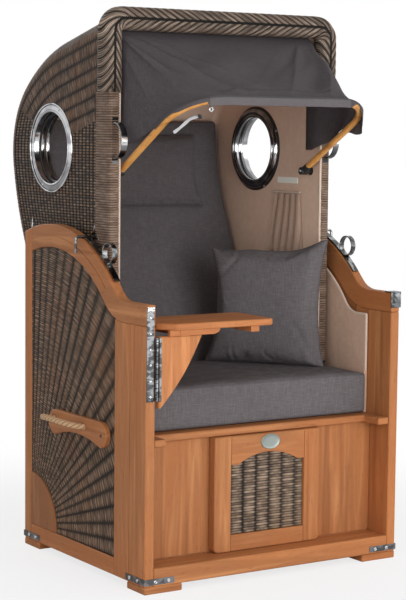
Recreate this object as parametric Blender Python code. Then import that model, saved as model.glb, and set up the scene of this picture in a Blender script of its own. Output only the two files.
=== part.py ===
"""Hooded beach chair: a teak and wicker base, a hood that reclines, an awning, a table and a footrest.

Metres, +Z up. The floor is z = 0, the front faces -Y, and the table is on the -X side.
Pieces that touch keep the width of GAP between them.
"""

from math import acos, asin, atan2, cos, hypot, pi, radians, sin, sqrt, tan

import bmesh
import bpy
from mathutils import Matrix, Vector

# Clearances
GAP = 0.0003
SLIP = 0.0008
OVERRUN = 0.020

# Base
MIDDLE_Y = -0.0959
BASE_WIDTH = 0.870
BASE_DEPTH = 0.716
SIDE_BOARD = 0.030
FOOT_HEIGHT = 0.020
FOOT_ALONG_FRONT = 0.122
FOOT_ALONG_SIDE = 0.096
RAIL_HEIGHT = 0.050
FRONT_STILE = 0.170
REAR_STILE = 0.042
ARM_DROP = 0.192
ARM_DEPTH = 0.058
PIVOT_BACK = 0.187
PIVOT_AHEAD = 0.545
PIVOT_RISE = 0.0655
ARC_RADIUS = 0.497
ARC_DEPTH = 0.068
TOP_FILLET = 0.090
UNDER_FILLET = 0.150
WOOD_BEVEL = 0.0025
GROOVE_WIDTH = 0.0022
GROOVE_DEPTH = 0.0015
PANEL_RECESS = 0.005
PANEL_THICK = 0.016
GUSSET_RADIUS = 0.160
RIB_WIDE = radians(5.7)
RIB_NARROW = radians(3.0)
RIB_GROOVE_WIDTH = 0.005
RIB_GROOVE_DEPTH = 0.0018
LINING_THICK = 0.011
LINING_DROP = 0.074
LINING_FRONT = 0.109
LINING_REAR = 0.458
LEDGE_DEPTH = 0.090
FRONT_PANEL_THICK = 0.018
SEAT_HEIGHT = 0.4255
SEAT_RAIL_HEIGHT = 0.0205
SEAT_RAIL_FRONT = 0.072
SEAT_RAIL_DEPTH = 0.040
BLOCK_WIDTH = 0.038
SEAT_BOARD_THICK = 0.018
SEAT_BOARD_CLEARANCE = 0.056
REAR_BOARD = 0.022

# Corner bands, rope handles and arm cap
BAND_WIDTH = 0.017
BAND_THICK = 0.0016
BAND_LIFT = 0.006
BAND_ALONG_FRONT = 0.095
BAND_ALONG_SIDE = 0.100
ROPE_PLATE_THICK = 0.017
ROPE_PLATE_MIDDLE = 0.367
ROPE_PLATE_LENGTH = 0.344
ROPE_PLATE_RISE = 0.0205
ROPE_PLATE_WAIST = 0.052
ROPE_PLATE_LOBE = 0.037
ROPE_RADIUS = 0.0085
ROPE_BULGE = 0.052
ROPE_HOLE_FRONT = 0.323
ROPE_HOLE_REAR = 0.503
ROPE_DROP = 0.026
ROPE_TURNS = 5.5
ROPE_STRANDS = 3
ROPE_STRAND_SHARE = 0.09
ROPE_BEND_SHARE = 0.62
CAP_THICK = 0.0025
CAP_LENGTH = 0.030
CAP_DROP = 0.045

# Seat cushion and loose cushions
SEAT_CUSHION_HEIGHT = 0.1185
SEAT_CUSHION_FRONT = 0.091
SEAT_CUSHION_STEP = 0.276
SEAT_CUSHION_REAR = 0.552
SEAT_CUSHION_HALF_FRONT = 0.391
SEAT_CUSHION_HALF_REAR = 0.345
SEAT_CUSHION_ROUND = 0.016
SEAT_CROWN = 0.010
PILLOW_HALF = 0.195
PILLOW_THICK = 0.105
PILLOW_EDGE = 0.010
PILLOW_DRAW_SHARE = 0.10
PILLOW_PUFF_SHARE = 0.6
PILLOW_X = 0.212
PILLOW_Y_BACK = 0.366
PILLOW_TURN = radians(-52)
PILLOW_LEAN = radians(4)
PILLOW_LIFT = 0.0027

# Hood
HOOD_HALF = 0.3835
HOOD_WALL = 0.029
HOOD_FRONT_BACK = 0.292
HOOD_RISE = 1.106
HOOD_ROUND = 0.055
ROOF_LENGTH = 0.3174
ROOF_SLOPE = radians(13.3)
SHOULDER_RADIUS = 0.584
SHOULDER_END = radians(38.6)
CROWN_RADIUS = 0.275
CROWN_END = radians(100.1)
BACK_RADIUS = 0.905
BACK_END = radians(114.1)
BACK_LENGTH = 0.348
HOOD_FRONT_RISE = 0.069
LOBE_CLEARANCE = 0.0105
HOOD_LINING = 0.003
SEAM_SLOPE = 0.287
BRAID_WIDTH = 0.068
BRAID_DEPTH = 0.044
BRAID_RIM = 0.030
BRAID_FALL = 0.226
BRAID_ROUND = 0.038
BRAID_OVER = 0.026
BRAID_RISE = 0.015
BRAID_FULL_SHARE = 0.7
HOLLOW_RUN_SHARE = 0.2
PIN_RADIUS = 0.008
PIVOT_PLATE = 0.004
PORT_BACK = 0.639
PORT_FALL = 0.388
PORT_FLANGE = 0.133
PORT_OPENING = 0.106
PORT_SLEEVE = 0.0045
PORT_FLANGE_THICK = 0.006
PORT_INNER_FLANGE = 0.128
PORT_INNER_THICK = 0.006
HANDLE_FALL = 0.297
HANDLE_SPAN = 0.130
HANDLE_REACH = 0.055
HANDLE_FOOT = 0.014
HANDLE_THICK = 0.0035
HANDLE_WIDTH = 0.018
HANDLE_FULL_SHARE = 0.8
BACK_CUSHION_HALF = 0.338
BACK_CUSHION_FALL = 0.297
BACK_CUSHION_CLEARANCE = 0.028
BACK_LINE_FOOT = 0.568
BACK_LINE_RISE = 0.001
BACK_LEAN = radians(23.5)
BACK_LEAN_END = radians(5)
BACK_STRAIGHT = 0.530
BACK_BEND_RADIUS = 0.500
BACK_CUSHION_ROUND = 0.010
BACK_CROWN = 0.010
EDGE_SHARE = 0.9
HEAD_HALF = 0.232
HEAD_LOW = 0.500
HEAD_LENGTH = 0.262
HEAD_THICK = 0.048
HEAD_EDGE = 0.006
HEAD_DRAW_SHARE = 0.05
HEAD_PUFF_SHARE = 0.55

# Awning
BOW_HALF = 0.3226
BOW_RADIUS = 0.0080
BOW_PIVOT_BACK = 0.3396
BOW_PIVOT_FALL = 0.452
BOW_REACH = 0.404
BOW_RISE = radians(30.4)
BOW_CORNER = 0.123
BOW_SOCKET = 0.0115
AWNING_START_SHARE = 0.18
AWNING_OVER_SHARE = 0.25
AWNING_OUT_SHARE = 0.3
AWNING_THICK = 0.0016
AWNING_HALF = 0.336
AWNING_FALL = 0.057
AWNING_RISE = 0.064
AWNING_ROUND = 0.024
AWNING_BACK = 0.327
AWNING_TUCK = 0.024
AWNING_HEM = 0.012
AWNING_ARM_HEM = 0.004
AWNING_FLAP = 0.042
AWNING_FOLD = 0.0045
AWNING_FOLDS = 9
AWNING_SAG = 0.010
AWNING_EASE = 0.0024

# Recline bars
BAR_THICK = 0.005
BAR_LIFT = 0.0022
BAR_WIDTH = 0.018
BAR_INSIDE = 0.407
BAR_CLEARANCE = radians(2.7075)
BAR_SPAN = radians(24)
ROD_RADIUS = 0.004
ROD_LENGTH = 0.065
ROD_DROP = 0.045
LOOP_PLACE = radians(9)
LOOP_RADIUS = 0.029
LOOP_THICK = 0.0032
BAR_PLATE_THICK = 0.003
BAR_PLATE_REACH = 0.034

# Table
TABLE_DROP = 0.052
TABLE_THICK = 0.018
TABLE_LEFT = 0.391
TABLE_RIGHT = 0.030
TABLE_FRONT = 0.026
TABLE_DEPTH = 0.194
TABLE_CLIP = 0.048
TABLE_CLIP_SHARE = 0.75
TABLE_ROUND = 0.020
BATTEN_WIDTH = 0.027
BATTEN_HEIGHT = 0.016
BATTEN_LEFT = 0.338
BATTEN_RIGHT = 0.107
BATTEN_INSET = 0.006
BATTEN_LENGTH = 0.172
BRACKET_WIDTH = 0.138
BRACKET_HEIGHT = 0.196
BRACKET_THICK = 0.020
BRACKET_BOW = 0.011
BRACKET_TIP = 0.006
HINGE_OUT = 0.0075
HINGE_RADIUS = 0.0055
HINGE_LEAF = 0.003
HINGE_LEAF_WIDTH = 0.022
HINGE_DROP = 0.004
HINGE_SPAN = 0.280
KNUCKLES = 5

# Footrest
FOOTREST_MIDDLE = 0.012
FOOTREST_HALF = 0.183
FOOTREST_THICK = 0.031
FOOTREST_RISE = 0.0012
FOOTREST_DROP = 0.022
FOOTREST_ROUND = 0.014
ARCH_HALF = 0.127
ARCH_RISE = 0.0475
ARCH_CROWN = 0.029
ARCH_DROP = 0.0535
ARCH_SHOULDER = 0.024
INSET_THICK = 0.012
INSET_RECESS = 0.009
BOX_HALF = 0.160
BOX_RISE = 0.0135
BOX_DROP = 0.0235
BOX_WALL = 0.015
BOX_LENGTH = 0.430
BOX_HOLE_CLEARANCE = 0.004

# Places worked out from the sizes
HALF = BASE_WIDTH / 2
INNER = HALF - SIDE_BOARD
FRONT = MIDDLE_Y - BASE_DEPTH / 2
REAR = MIDDLE_Y + BASE_DEPTH / 2
RAIL_TOP = FOOT_HEIGHT + GAP + RAIL_HEIGHT
PIVOT_Y = MIDDLE_Y + PIVOT_BACK
PIVOT_HEIGHT = SEAT_HEIGHT + PIVOT_RISE
ARM_HEIGHT = PIVOT_HEIGHT + ARC_RADIUS - ARM_DROP
ROPE_PLATE_TOP = SEAT_HEIGHT + ROPE_PLATE_RISE
ROPE_HEIGHT = ROPE_PLATE_TOP - ROPE_DROP
SEAT_CUSHION_TOP = SEAT_HEIGHT + SEAT_CUSHION_HEIGHT
LOBE_RADIUS = PIVOT_RISE - LOBE_CLEARANCE
HOOD_LINE = PIVOT_Y - PIVOT_AHEAD
HOOD_FRONT = HOOD_LINE + HOOD_FRONT_BACK
HOOD_FRONT_FOOT = PIVOT_HEIGHT + HOOD_FRONT_RISE
HOOD_TOP = PIVOT_HEIGHT + HOOD_RISE
BRAID_LOW = HOOD_TOP - BRAID_FALL
PORT_HEIGHT = HOOD_TOP - PORT_FALL
HANDLE_HIGH = HOOD_TOP - HANDLE_FALL
HANDLE_LOW = HANDLE_HIGH - HANDLE_SPAN
LINED_HALF = HOOD_HALF - HOOD_WALL - GAP - HOOD_LINING
BACK_CUSHION_TOP = HOOD_TOP - BACK_CUSHION_FALL
BACK_CUSHION_FOOT = SEAT_CUSHION_TOP + BACK_CUSHION_CLEARANCE
BACK_LINE_FOOT_HEIGHT = SEAT_CUSHION_TOP + BACK_LINE_RISE
BOW_PIVOT_HEIGHT = HOOD_TOP - BOW_PIVOT_FALL
AWNING_TOP = HOOD_TOP - AWNING_FALL
AWNING_LOW = BOW_PIVOT_HEIGHT + AWNING_RISE
ARC_START = pi - asin((ARM_HEIGHT + TOP_FILLET - PIVOT_HEIGHT) / (ARC_RADIUS + TOP_FILLET))
BAR_END = ARC_START - BAR_CLEARANCE
BAR_START = BAR_END - BAR_SPAN
LOOP_ANGLE = BAR_END - LOOP_PLACE
TABLE_TOP = ARM_HEIGHT - TABLE_DROP
HINGE_HIGH = ARM_HEIGHT - HINGE_DROP
HINGE_LOW = HINGE_HIGH - HINGE_SPAN
FOOTREST_LOW = RAIL_TOP + FOOTREST_RISE
FOOTREST_TOP = SEAT_HEIGHT - FOOTREST_DROP
ARCH_LOW = FOOTREST_LOW + ARCH_RISE
ARCH_TOP = FOOTREST_TOP - ARCH_DROP
ARCH_SPRING = ARCH_TOP - ARCH_CROWN
BOX_LOW = FOOTREST_LOW + BOX_RISE
BOX_TOP = FOOTREST_TOP - BOX_DROP
SIDES = {"left": -1, "right": 1}


# Materials


def skin(name, colour, roughness, metallic=0.0):
    made = bpy.data.materials.new(name)
    made.use_nodes = True
    shader = made.node_tree.nodes["Principled BSDF"]
    shader.inputs["Base Color"].default_value = (*colour, 1)
    shader.inputs["Roughness"].default_value = roughness
    shader.inputs["Metallic"].default_value = metallic
    made.diffuse_color = (*colour, 1)
    return made


# Basic shapes


def solid(name, points, faces, material, smooth=False):
    """A closed mesh with its faces turned outwards and its origin in its middle."""
    lows = [min(point[axis] for point in points) for axis in range(3)]
    highs = [max(point[axis] for point in points) for axis in range(3)]
    middle = (Vector(lows) + Vector(highs)) / 2
    mesh = bpy.data.meshes.new(name)
    mesh.from_pydata([Vector(point) - middle for point in points], [], faces)
    work = bmesh.new()
    work.from_mesh(mesh)
    bmesh.ops.recalc_face_normals(work, faces=work.faces)
    for face in work.faces:
        face.smooth = smooth
    work.to_mesh(mesh)
    work.free()
    mesh.materials.append(material)
    obj = bpy.data.objects.new(name, mesh)
    obj.location = middle
    bpy.context.scene.collection.objects.link(obj)
    return obj


def loft(name, rings, material, smooth=False):
    """A solid through rings that hold the same number of points, with a flat cap at each end."""
    count = len(rings[0])
    points = [point for ring in rings for point in ring]
    faces = [tuple(range(count))]
    for i in range(len(rings) - 1):
        for j in range(count):
            k = (j + 1) % count
            low, high = i * count, (i + 1) * count
            faces.append((low + j, low + k, high + k, high + j))
    faces.append(tuple(range((len(rings) - 1) * count, len(rings) * count)))
    return solid(name, points, faces, material, smooth)


def in_plane(plane, a, b, level):
    """The point (a, b) of a plane named by its two axes, at a level on the third."""
    if plane == "yz":
        return (level, a, b)
    if plane == "xz":
        return (a, level, b)
    return (a, b, level)


def prism(name, outline, plane, low, high, material, bevel=0.0, smooth=False):
    rings = [[in_plane(plane, a, b, level) for a, b in outline] for level in (low, high)]
    made = loft(name, rings, material, smooth)
    if bevel:
        soften(made, bevel)
    return made


def box(name, low, high, material, bevel=0.0):
    outline = [(low[0], low[1]), (high[0], low[1]), (high[0], high[1]), (low[0], high[1])]
    return prism(name, outline, "xy", low[2], high[2], material, bevel)


def soften(obj, width, segments=1):
    made = obj.modifiers.new("edges", "BEVEL")
    made.width = width
    made.segments = segments
    made.limit_method = "ANGLE"
    made.angle_limit = radians(38)


def combine(obj, other, operation):
    """Adds or takes away a helper solid, which stays hidden."""
    other.hide_render = True
    other.display_type = "WIRE"
    made = obj.modifiers.new(operation.lower(), "BOOLEAN")
    made.operation = operation
    made.solver = "EXACT"
    made.object = other


def side_levels(side, inner, outer):
    """Two X levels in rising order for a piece on one side."""
    return sorted((side * inner, side * outer))


def arc(centre, radius, start, end, steps):
    return [
        (centre[0] + radius * cos(start + (end - start) * i / steps),
         centre[1] + radius * sin(start + (end - start) * i / steps))
        for i in range(steps + 1)
    ]


def ribbon(path, thickness):
    """The closed outline of a band of even thickness along a path."""
    left, right = [], []
    for i, point in enumerate(path):
        before = path[max(i - 1, 0)]
        after = path[min(i + 1, len(path) - 1)]
        along = Vector(after) - Vector(before)
        along.normalize()
        across = Vector((-along.y, along.x)) * thickness / 2
        left.append((point[0] + across.x, point[1] + across.y))
        right.append((point[0] - across.x, point[1] - across.y))
    return left + right[::-1]


def tube(name, path, radius, sides, material, ripple=None):
    """A round bar along a path of 3-D points. ripple gives a share to add to the radius at (step, angle)."""
    path = [Vector(point) for point in path]
    rings = []
    up = Vector((0, 0, 1))
    first = path[1] - path[0]
    if abs(first.normalized().z) > abs(first.normalized().x):
        up = Vector((0, 1, 0))
    for i, point in enumerate(path):
        along = path[min(i + 1, len(path) - 1)] - path[max(i - 1, 0)]
        along.normalize()
        across = along.cross(up).normalized()
        up = across.cross(along).normalized()
        ring = []
        for j in range(sides):
            angle = 2 * pi * j / sides
            reach = radius * (1 + (ripple(i, angle) if ripple else 0))
            ring.append(point + across * reach * cos(angle) + up * reach * sin(angle))
        rings.append(ring)
    return loft(name, rings, material, True)


def sheet(name, grid, thickness, material):
    """A closed sheet of even thickness about a grid of points."""
    rows, columns = len(grid), len(grid[0])
    grid = [[Vector(point) for point in row] for row in grid]
    sides = ([], [])
    for i in range(rows):
        for j in range(columns):
            down = grid[min(i + 1, rows - 1)][j] - grid[max(i - 1, 0)][j]
            over = grid[i][min(j + 1, columns - 1)] - grid[i][max(j - 1, 0)]
            normal = down.cross(over).normalized()
            sides[0].append(grid[i][j] + normal * thickness / 2)
            sides[1].append(grid[i][j] - normal * thickness / 2)
    count = rows * columns
    faces = []
    for i in range(rows - 1):
        for j in range(columns - 1):
            a, b = i * columns + j, (i + 1) * columns + j
            faces.append((a, a + 1, b + 1, b))
            faces.append((count + a, count + b, count + b + 1, count + a + 1))
    rim = [j for j in range(columns)]
    rim += [i * columns + columns - 1 for i in range(1, rows)]
    rim += [(rows - 1) * columns + j for j in range(columns - 2, -1, -1)]
    rim += [i * columns for i in range(rows - 2, 0, -1)]
    for a, b in zip(rim, rim[1:] + rim[:1]):
        faces.append((a, count + a, count + b, b))
    return solid(name, sides[0] + sides[1], faces, material, True)


def padded(name, counts, shape, material):
    """A closed body over the skin of a lattice of shares from -1 to 1, each moved by shape(u, v, w)."""
    nu, nv, nw = counts
    index = {}
    points = []
    for i in range(nu + 1):
        for j in range(nv + 1):
            for k in range(nw + 1):
                if i in (0, nu) or j in (0, nv) or k in (0, nw):
                    index[i, j, k] = len(points)
                    points.append(shape(2 * i / nu - 1, 2 * j / nv - 1, 2 * k / nw - 1))
    faces = []
    for i in range(nu):
        for j in range(nv):
            for k in (0, nw):
                faces.append([index[i, j, k], index[i + 1, j, k], index[i + 1, j + 1, k], index[i, j + 1, k]])
    for i in range(nu):
        for k in range(nw):
            for j in (0, nv):
                faces.append([index[i, j, k], index[i + 1, j, k], index[i + 1, j, k + 1], index[i, j, k + 1]])
    for j in range(nv):
        for k in range(nw):
            for i in (0, nu):
                faces.append([index[i, j, k], index[i, j + 1, k], index[i, j + 1, k + 1], index[i, j, k + 1]])
    return solid(name, points, faces, material, True)


def spread(share):
    """Moves even lattice shares towards the edges, where a cushion rounds over."""
    return sin(share * pi / 2)


def rounded(point, half, radius):
    """Rounds the edges and corners of a block with the given half sizes."""
    core = [max(-h + radius, min(h - radius, p)) for p, h in zip(point, half)]
    out = Vector([p - c for p, c in zip(point, core)])
    if out.length == 0:
        return Vector(point)
    return Vector(core) + out.normalized() * radius


# Base


def arm_line(flat, radius, fillet, front, rear, fillet_steps=7, arc_steps=18):
    """Points (y, z) along the arm: a flat, a hollow fillet, and an arc round the hood pivot."""
    reach = radius + fillet
    centre_z = flat + fillet
    centre_y = PIVOT_Y - sqrt(reach**2 - (centre_z - PIVOT_HEIGHT) ** 2)
    turn = atan2(PIVOT_HEIGHT - centre_z, PIVOT_Y - centre_y)
    points = [(front, flat)]
    points += arc((centre_y, centre_z), fillet, -pi / 2, turn, fillet_steps)
    end = acos((rear - PIVOT_Y) / radius)
    points += arc((PIVOT_Y, PIVOT_HEIGHT), radius, turn + pi, end, arc_steps)[1:]
    return points


def height_on(line, y):
    for (y0, z0), (y1, z1) in zip(line, line[1:]):
        if y <= y1:
            return z0 + (z1 - z0) * (y - y0) / (y1 - y0)
    return line[-1][1]


def cut_line(line, start, end, lift):
    inside = [(y, z + lift) for y, z in line if start < y < end]
    return [(start, height_on(line, start) + lift)] + inside + [(end, height_on(line, end) + lift)]


def upper_line():
    return arm_line(ARM_HEIGHT, ARC_RADIUS, TOP_FILLET, FRONT, REAR)


def lower_line():
    return arm_line(
        ARM_HEIGHT - ARM_DEPTH, ARC_RADIUS - ARC_DEPTH, UNDER_FILLET, FRONT, REAR - REAR_STILE
    )


def frame_piece(name, outline, material, side, bevel=WOOD_BEVEL):
    return prism(name, outline, "yz", *side_levels(side, INNER, HALF), material, bevel)


def groove(obj, name, outline, material, side):
    """Cuts a joint line into the outer face of a side board."""
    cutter = prism(
        name, outline, "yz", *side_levels(side, HALF - GROOVE_DEPTH, HALF + OVERRUN), material
    )
    combine(obj, cutter, "DIFFERENCE")


def front_stile(label, side, teak):
    end = FRONT + FRONT_STILE
    low = FOOT_HEIGHT + GAP
    outline = [(FRONT, low), (end, low)] + cut_line(lower_line(), FRONT, end, -GAP)[::-1]
    made = frame_piece(label + "_front_stile", outline, teak, side)
    middle = FRONT + FRONT_STILE / 2
    strip = [
        (middle - GROOVE_WIDTH / 2, low - OVERRUN),
        (middle + GROOVE_WIDTH / 2, low - OVERRUN),
        (middle + GROOVE_WIDTH / 2, ARM_HEIGHT),
        (middle - GROOVE_WIDTH / 2, ARM_HEIGHT),
    ]
    groove(made, label + "_stile_groove", strip, teak, side)


def rear_stile(label, side, teak):
    start = REAR - REAR_STILE
    low = FOOT_HEIGHT + GAP
    outline = [(start, low), (REAR, low)] + cut_line(upper_line(), start, REAR, 0)[::-1]
    frame_piece(label + "_rear_stile", outline, teak, side)


def bottom_rail(label, side, teak):
    start, end = FRONT + FRONT_STILE + GAP, REAR - REAR_STILE - GAP
    low = FOOT_HEIGHT + GAP
    outline = [(start, low), (end, low), (end, RAIL_TOP), (start, RAIL_TOP)]
    frame_piece(label + "_bottom_rail", outline, teak, side)


def top_rail(label, side, teak):
    end = REAR - REAR_STILE - GAP
    upper = cut_line(upper_line(), FRONT, end, 0)
    outline = cut_line(lower_line(), FRONT, end, 0) + upper[::-1]
    made = frame_piece(label + "_top_rail", outline, teak, side)
    middle = ARC_RADIUS - ARC_DEPTH / 2
    joint = arc((PIVOT_Y, PIVOT_HEIGHT), middle, radians(134), radians(66), 16)
    groove(made, label + "_rail_groove", ribbon(joint, GROOVE_WIDTH), teak, side)


def corner_gusset(label, side, teak):
    centre = (REAR - REAR_STILE - GAP, RAIL_TOP + GAP)
    outline = [centre] + arc(centre, GUSSET_RADIUS, pi, pi / 2, 14)
    frame_piece(label + "_corner_gusset", outline, teak, side)


def rib_grooves(name, face, side, centre, wicker):
    """V grooves between the woven ribs, which fan out from the gusset's corner and narrow upward."""
    rise = RIB_GROOVE_DEPTH
    spread_out = RIB_GROOVE_WIDTH / 2 * (1 + rise / RIB_GROOVE_DEPTH)
    points, faces = [], []
    angle = RIB_WIDE / 2
    while angle < pi / 2:
        along, across = (-cos(angle), sin(angle)), (sin(angle), cos(angle))
        first = len(points)
        for reach in (GUSSET_RADIUS - OVERRUN, BASE_DEPTH + ARM_HEIGHT):
            middle = (centre[0] + reach * along[0], centre[1] + reach * along[1])
            for off, out in ((0, -RIB_GROOVE_DEPTH), (spread_out, rise), (-spread_out, rise)):
                points.append((face + side * out, middle[0] + off * across[0], middle[1] + off * across[1]))
        a = first
        faces += [(a, a + 1, a + 2), (a + 3, a + 5, a + 4)]
        faces += [(a + i, a + 3 + i, a + 3 + (i + 1) % 3, a + (i + 1) % 3) for i in range(3)]
        angle += RIB_WIDE + (RIB_NARROW - RIB_WIDE) * angle / (pi / 2)
    return solid(name, points, faces, wicker)


def wicker_panel(label, side, wicker):
    """The woven field inside the frame, hollowed round the corner gusset."""
    start, end = FRONT + FRONT_STILE + GAP, REAR - REAR_STILE - GAP
    low = RAIL_TOP + GAP
    centre = (end, low)
    outline = [(start, low)]
    outline += arc(centre, GUSSET_RADIUS + GAP, pi, pi / 2, 14)
    outline += cut_line(lower_line(), start, end, -GAP)[::-1]
    outer = HALF - PANEL_RECESS
    levels = side_levels(side, outer - PANEL_THICK, outer)
    made = prism(label + "_wicker_panel", outline, "yz", *levels, wicker)
    combine(made, rib_grooves(label + "_rib_grooves", side * outer, side, centre, wicker), "DIFFERENCE")


def side_lining(label, side, cloth):
    line = arm_line(
        ARM_HEIGHT - LINING_DROP, ARC_RADIUS - LINING_DROP, UNDER_FILLET / 2, FRONT, REAR
    )
    start, end = FRONT + LINING_FRONT, FRONT + LINING_REAR
    low = SEAT_HEIGHT + GAP
    outline = [(start, low), (end, low)] + cut_line(line, start, end, 0)[::-1]
    levels = side_levels(side, INNER - GAP - LINING_THICK, INNER - GAP)
    prism(label + "_side_lining", outline, "yz", *levels, cloth, GROOVE_WIDTH)


def foot(name, side, front, teak):
    across = side_levels(side, HALF - FOOT_ALONG_FRONT, HALF)
    start = FRONT if front else REAR - FOOT_ALONG_SIDE
    low = (across[0], start, 0)
    box(name, low, (across[1], start + FOOT_ALONG_SIDE, FOOT_HEIGHT), teak, WOOD_BEVEL)


def corner_band(name, side, front, steel):
    """A steel strip bent round a bottom corner of the base."""
    face = 1 if front else -1
    corner_y = FRONT if front else REAR
    inner = (side * (HALF + GAP), corner_y - face * GAP)
    outer = (side * (HALF + GAP + BAND_THICK), corner_y - face * (GAP + BAND_THICK))
    end_x = side * (HALF - BAND_ALONG_FRONT)
    end_y = corner_y + face * BAND_ALONG_SIDE
    outline = [
        (end_x, outer[1]), outer, (outer[0], end_y), (inner[0], end_y), inner, (end_x, inner[1])
    ]
    low = FOOT_HEIGHT + BAND_LIFT
    prism(name, outline, "xy", low, low + BAND_WIDTH, steel)


def crosswise(name, start, end, low, high, teak, bevel=WOOD_BEVEL):
    """A board across the base between the side frames."""
    reach = INNER - GAP
    return box(name, (-reach, start, low), (reach, end, high), teak, bevel)


def front_panel(teak):
    start = FRONT + LEDGE_DEPTH + GAP
    end = start + FRONT_PANEL_THICK
    low, high = RAIL_TOP + GAP, SEAT_HEIGHT - SEAT_RAIL_HEIGHT - GAP
    made = crosswise("front_panel", start, end, low, high, teak)
    reach = BOX_HALF + BOX_HOLE_CLEARANCE
    hole = box(
        "front_panel_hole",
        (FOOTREST_MIDDLE - reach, start - OVERRUN, BOX_LOW - BOX_HOLE_CLEARANCE),
        (FOOTREST_MIDDLE + reach, end + OVERRUN, BOX_TOP + BOX_HOLE_CLEARANCE),
        teak,
    )
    combine(made, hole, "DIFFERENCE")


def seat_rail(teak):
    """The rail under the front of the cushion, with a block reaching forward at each end."""
    start = FRONT + SEAT_RAIL_FRONT
    end = start + SEAT_RAIL_DEPTH
    reach = INNER - GAP
    arm = reach - BLOCK_WIDTH
    front = FRONT + WOOD_BEVEL
    outline = [
        (-reach, front), (-arm, front), (-arm, start), (arm, start),
        (arm, front), (reach, front), (reach, end), (-reach, end),
    ]
    low = SEAT_HEIGHT - SEAT_RAIL_HEIGHT
    prism("seat_front_rail", outline, "xy", low, SEAT_HEIGHT, teak, WOOD_BEVEL)


def base_boards(teak, wicker):
    low = FOOT_HEIGHT + GAP
    crosswise("front_bottom_rail", FRONT, FRONT + LEDGE_DEPTH, low, RAIL_TOP, teak)
    crosswise("rear_bottom_rail", REAR - REAR_BOARD, REAR, low, RAIL_TOP, teak)
    crosswise(
        "rear_panel", REAR - REAR_BOARD, REAR - PANEL_RECESS, RAIL_TOP + GAP, SEAT_HEIGHT, wicker
    )
    start = FRONT + SEAT_RAIL_FRONT + SEAT_RAIL_DEPTH + GAP
    crosswise(
        "seat_board", start, REAR - SEAT_BOARD_CLEARANCE, SEAT_HEIGHT - SEAT_BOARD_THICK, SEAT_HEIGHT, teak
    )


def rope_plate(label, side, teak):
    """A board with a lobe at each end, a straight top, an arched underside and two rope holes."""
    middle = FRONT + ROPE_PLATE_MIDDLE
    lobe = ROPE_PLATE_LOBE
    reach = ROPE_PLATE_LENGTH / 2 - lobe
    centre_z = ROPE_PLATE_TOP - lobe
    waist = ROPE_PLATE_TOP - ROPE_PLATE_WAIST
    rise = waist - (centre_z - lobe)
    arch = (reach**2 + rise**2) / (2 * rise)
    half = asin(reach / arch)
    outline = arc((middle + reach, centre_z), lobe, -pi / 2, pi / 2, 10)
    outline += arc((middle - reach, centre_z), lobe, pi / 2, 3 * pi / 2, 10)
    under = arc((middle, waist - arch), arch, pi / 2 + half, pi / 2 - half, 12)
    outline += under[1:-1]
    inner = HALF - PANEL_RECESS + GAP
    levels = side_levels(side, inner, inner + ROPE_PLATE_THICK)
    made = prism(label + "_rope_plate", outline, "yz", *levels, teak, WOOD_BEVEL)
    for tag, back in (("front", ROPE_HOLE_FRONT), ("rear", ROPE_HOLE_REAR)):
        radius = ROPE_RADIUS * (1 + ROPE_STRAND_SHARE) + SLIP
        edge = arc((FRONT + back, ROPE_HEIGHT), radius, 0, 2 * pi, 16)[:-1]
        cutter = prism(
            label + "_rope_hole_" + tag, edge, "yz",
            *side_levels(side, inner - OVERRUN, inner + ROPE_PLATE_THICK + OVERRUN), teak,
        )
        combine(made, cutter, "DIFFERENCE")


def rope_path(side, steps=44):
    """Out of one hole, along, and back into the other."""
    inner = HALF - PANEL_RECESS + 2 * GAP
    reach = ROPE_PLATE_THICK + ROPE_BULGE
    front, rear = FRONT + ROPE_HOLE_FRONT, FRONT + ROPE_HOLE_REAR
    middle, half = (front + rear) / 2, (rear - front) / 2
    points = []
    for i in range(steps + 1):
        angle = pi * i / steps
        out = reach * sin(angle) ** ROPE_BEND_SHARE
        points.append((side * (inner + out), middle - half * cos(angle), ROPE_HEIGHT))
    return points


def rope_handle(label, side, rope):
    path = rope_path(side)

    def twist(step, angle):
        lay = 2 * pi * ROPE_TURNS * step / len(path)
        return ROPE_STRAND_SHARE * cos(ROPE_STRANDS * angle + lay)

    tube(label + "_rope_handle", path, ROPE_RADIUS, 12, rope, twist)


def arm_cap(chrome):
    """A bright cap over the front top corner of the right arm."""
    out, into = HALF + GAP + CAP_THICK, INNER - GAP - CAP_THICK
    face, top = FRONT - GAP, ARM_HEIGHT + GAP
    outline = [
        (face, top), (FRONT + CAP_LENGTH, top), (FRONT + CAP_LENGTH, top + CAP_THICK),
        (face - CAP_THICK, top + CAP_THICK), (face - CAP_THICK, top - CAP_DROP), (face, top - CAP_DROP),
    ]
    prism("right_arm_cap", outline, "yz", into, out, chrome)


def pivot_bracket(label, side, steel):
    """A plate on the seat board that carries the hood's pivot pin."""
    low = SEAT_HEIGHT + GAP
    inner = HOOD_HALF + SLIP
    outline = [(PIVOT_Y - LOBE_RADIUS / 2, low), (PIVOT_Y + LOBE_RADIUS / 2, low)]
    outline += arc((PIVOT_Y, PIVOT_HEIGHT), LOBE_RADIUS / 3, 0, pi, 10)
    levels = side_levels(side, inner, inner + PIVOT_PLATE)
    made = prism(label + "_pivot_bracket", outline, "yz", *levels, steel)
    edge = arc((PIVOT_Y, PIVOT_HEIGHT), PIN_RADIUS, 0, 2 * pi, 16)[:-1]
    levels = side_levels(side, HOOD_HALF - HOOD_WALL + SLIP, inner + PIVOT_PLATE / 2)
    combine(made, prism(label + "_pivot_pin", edge, "yz", *levels, steel), "UNION")


# Cushions on the base


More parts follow.
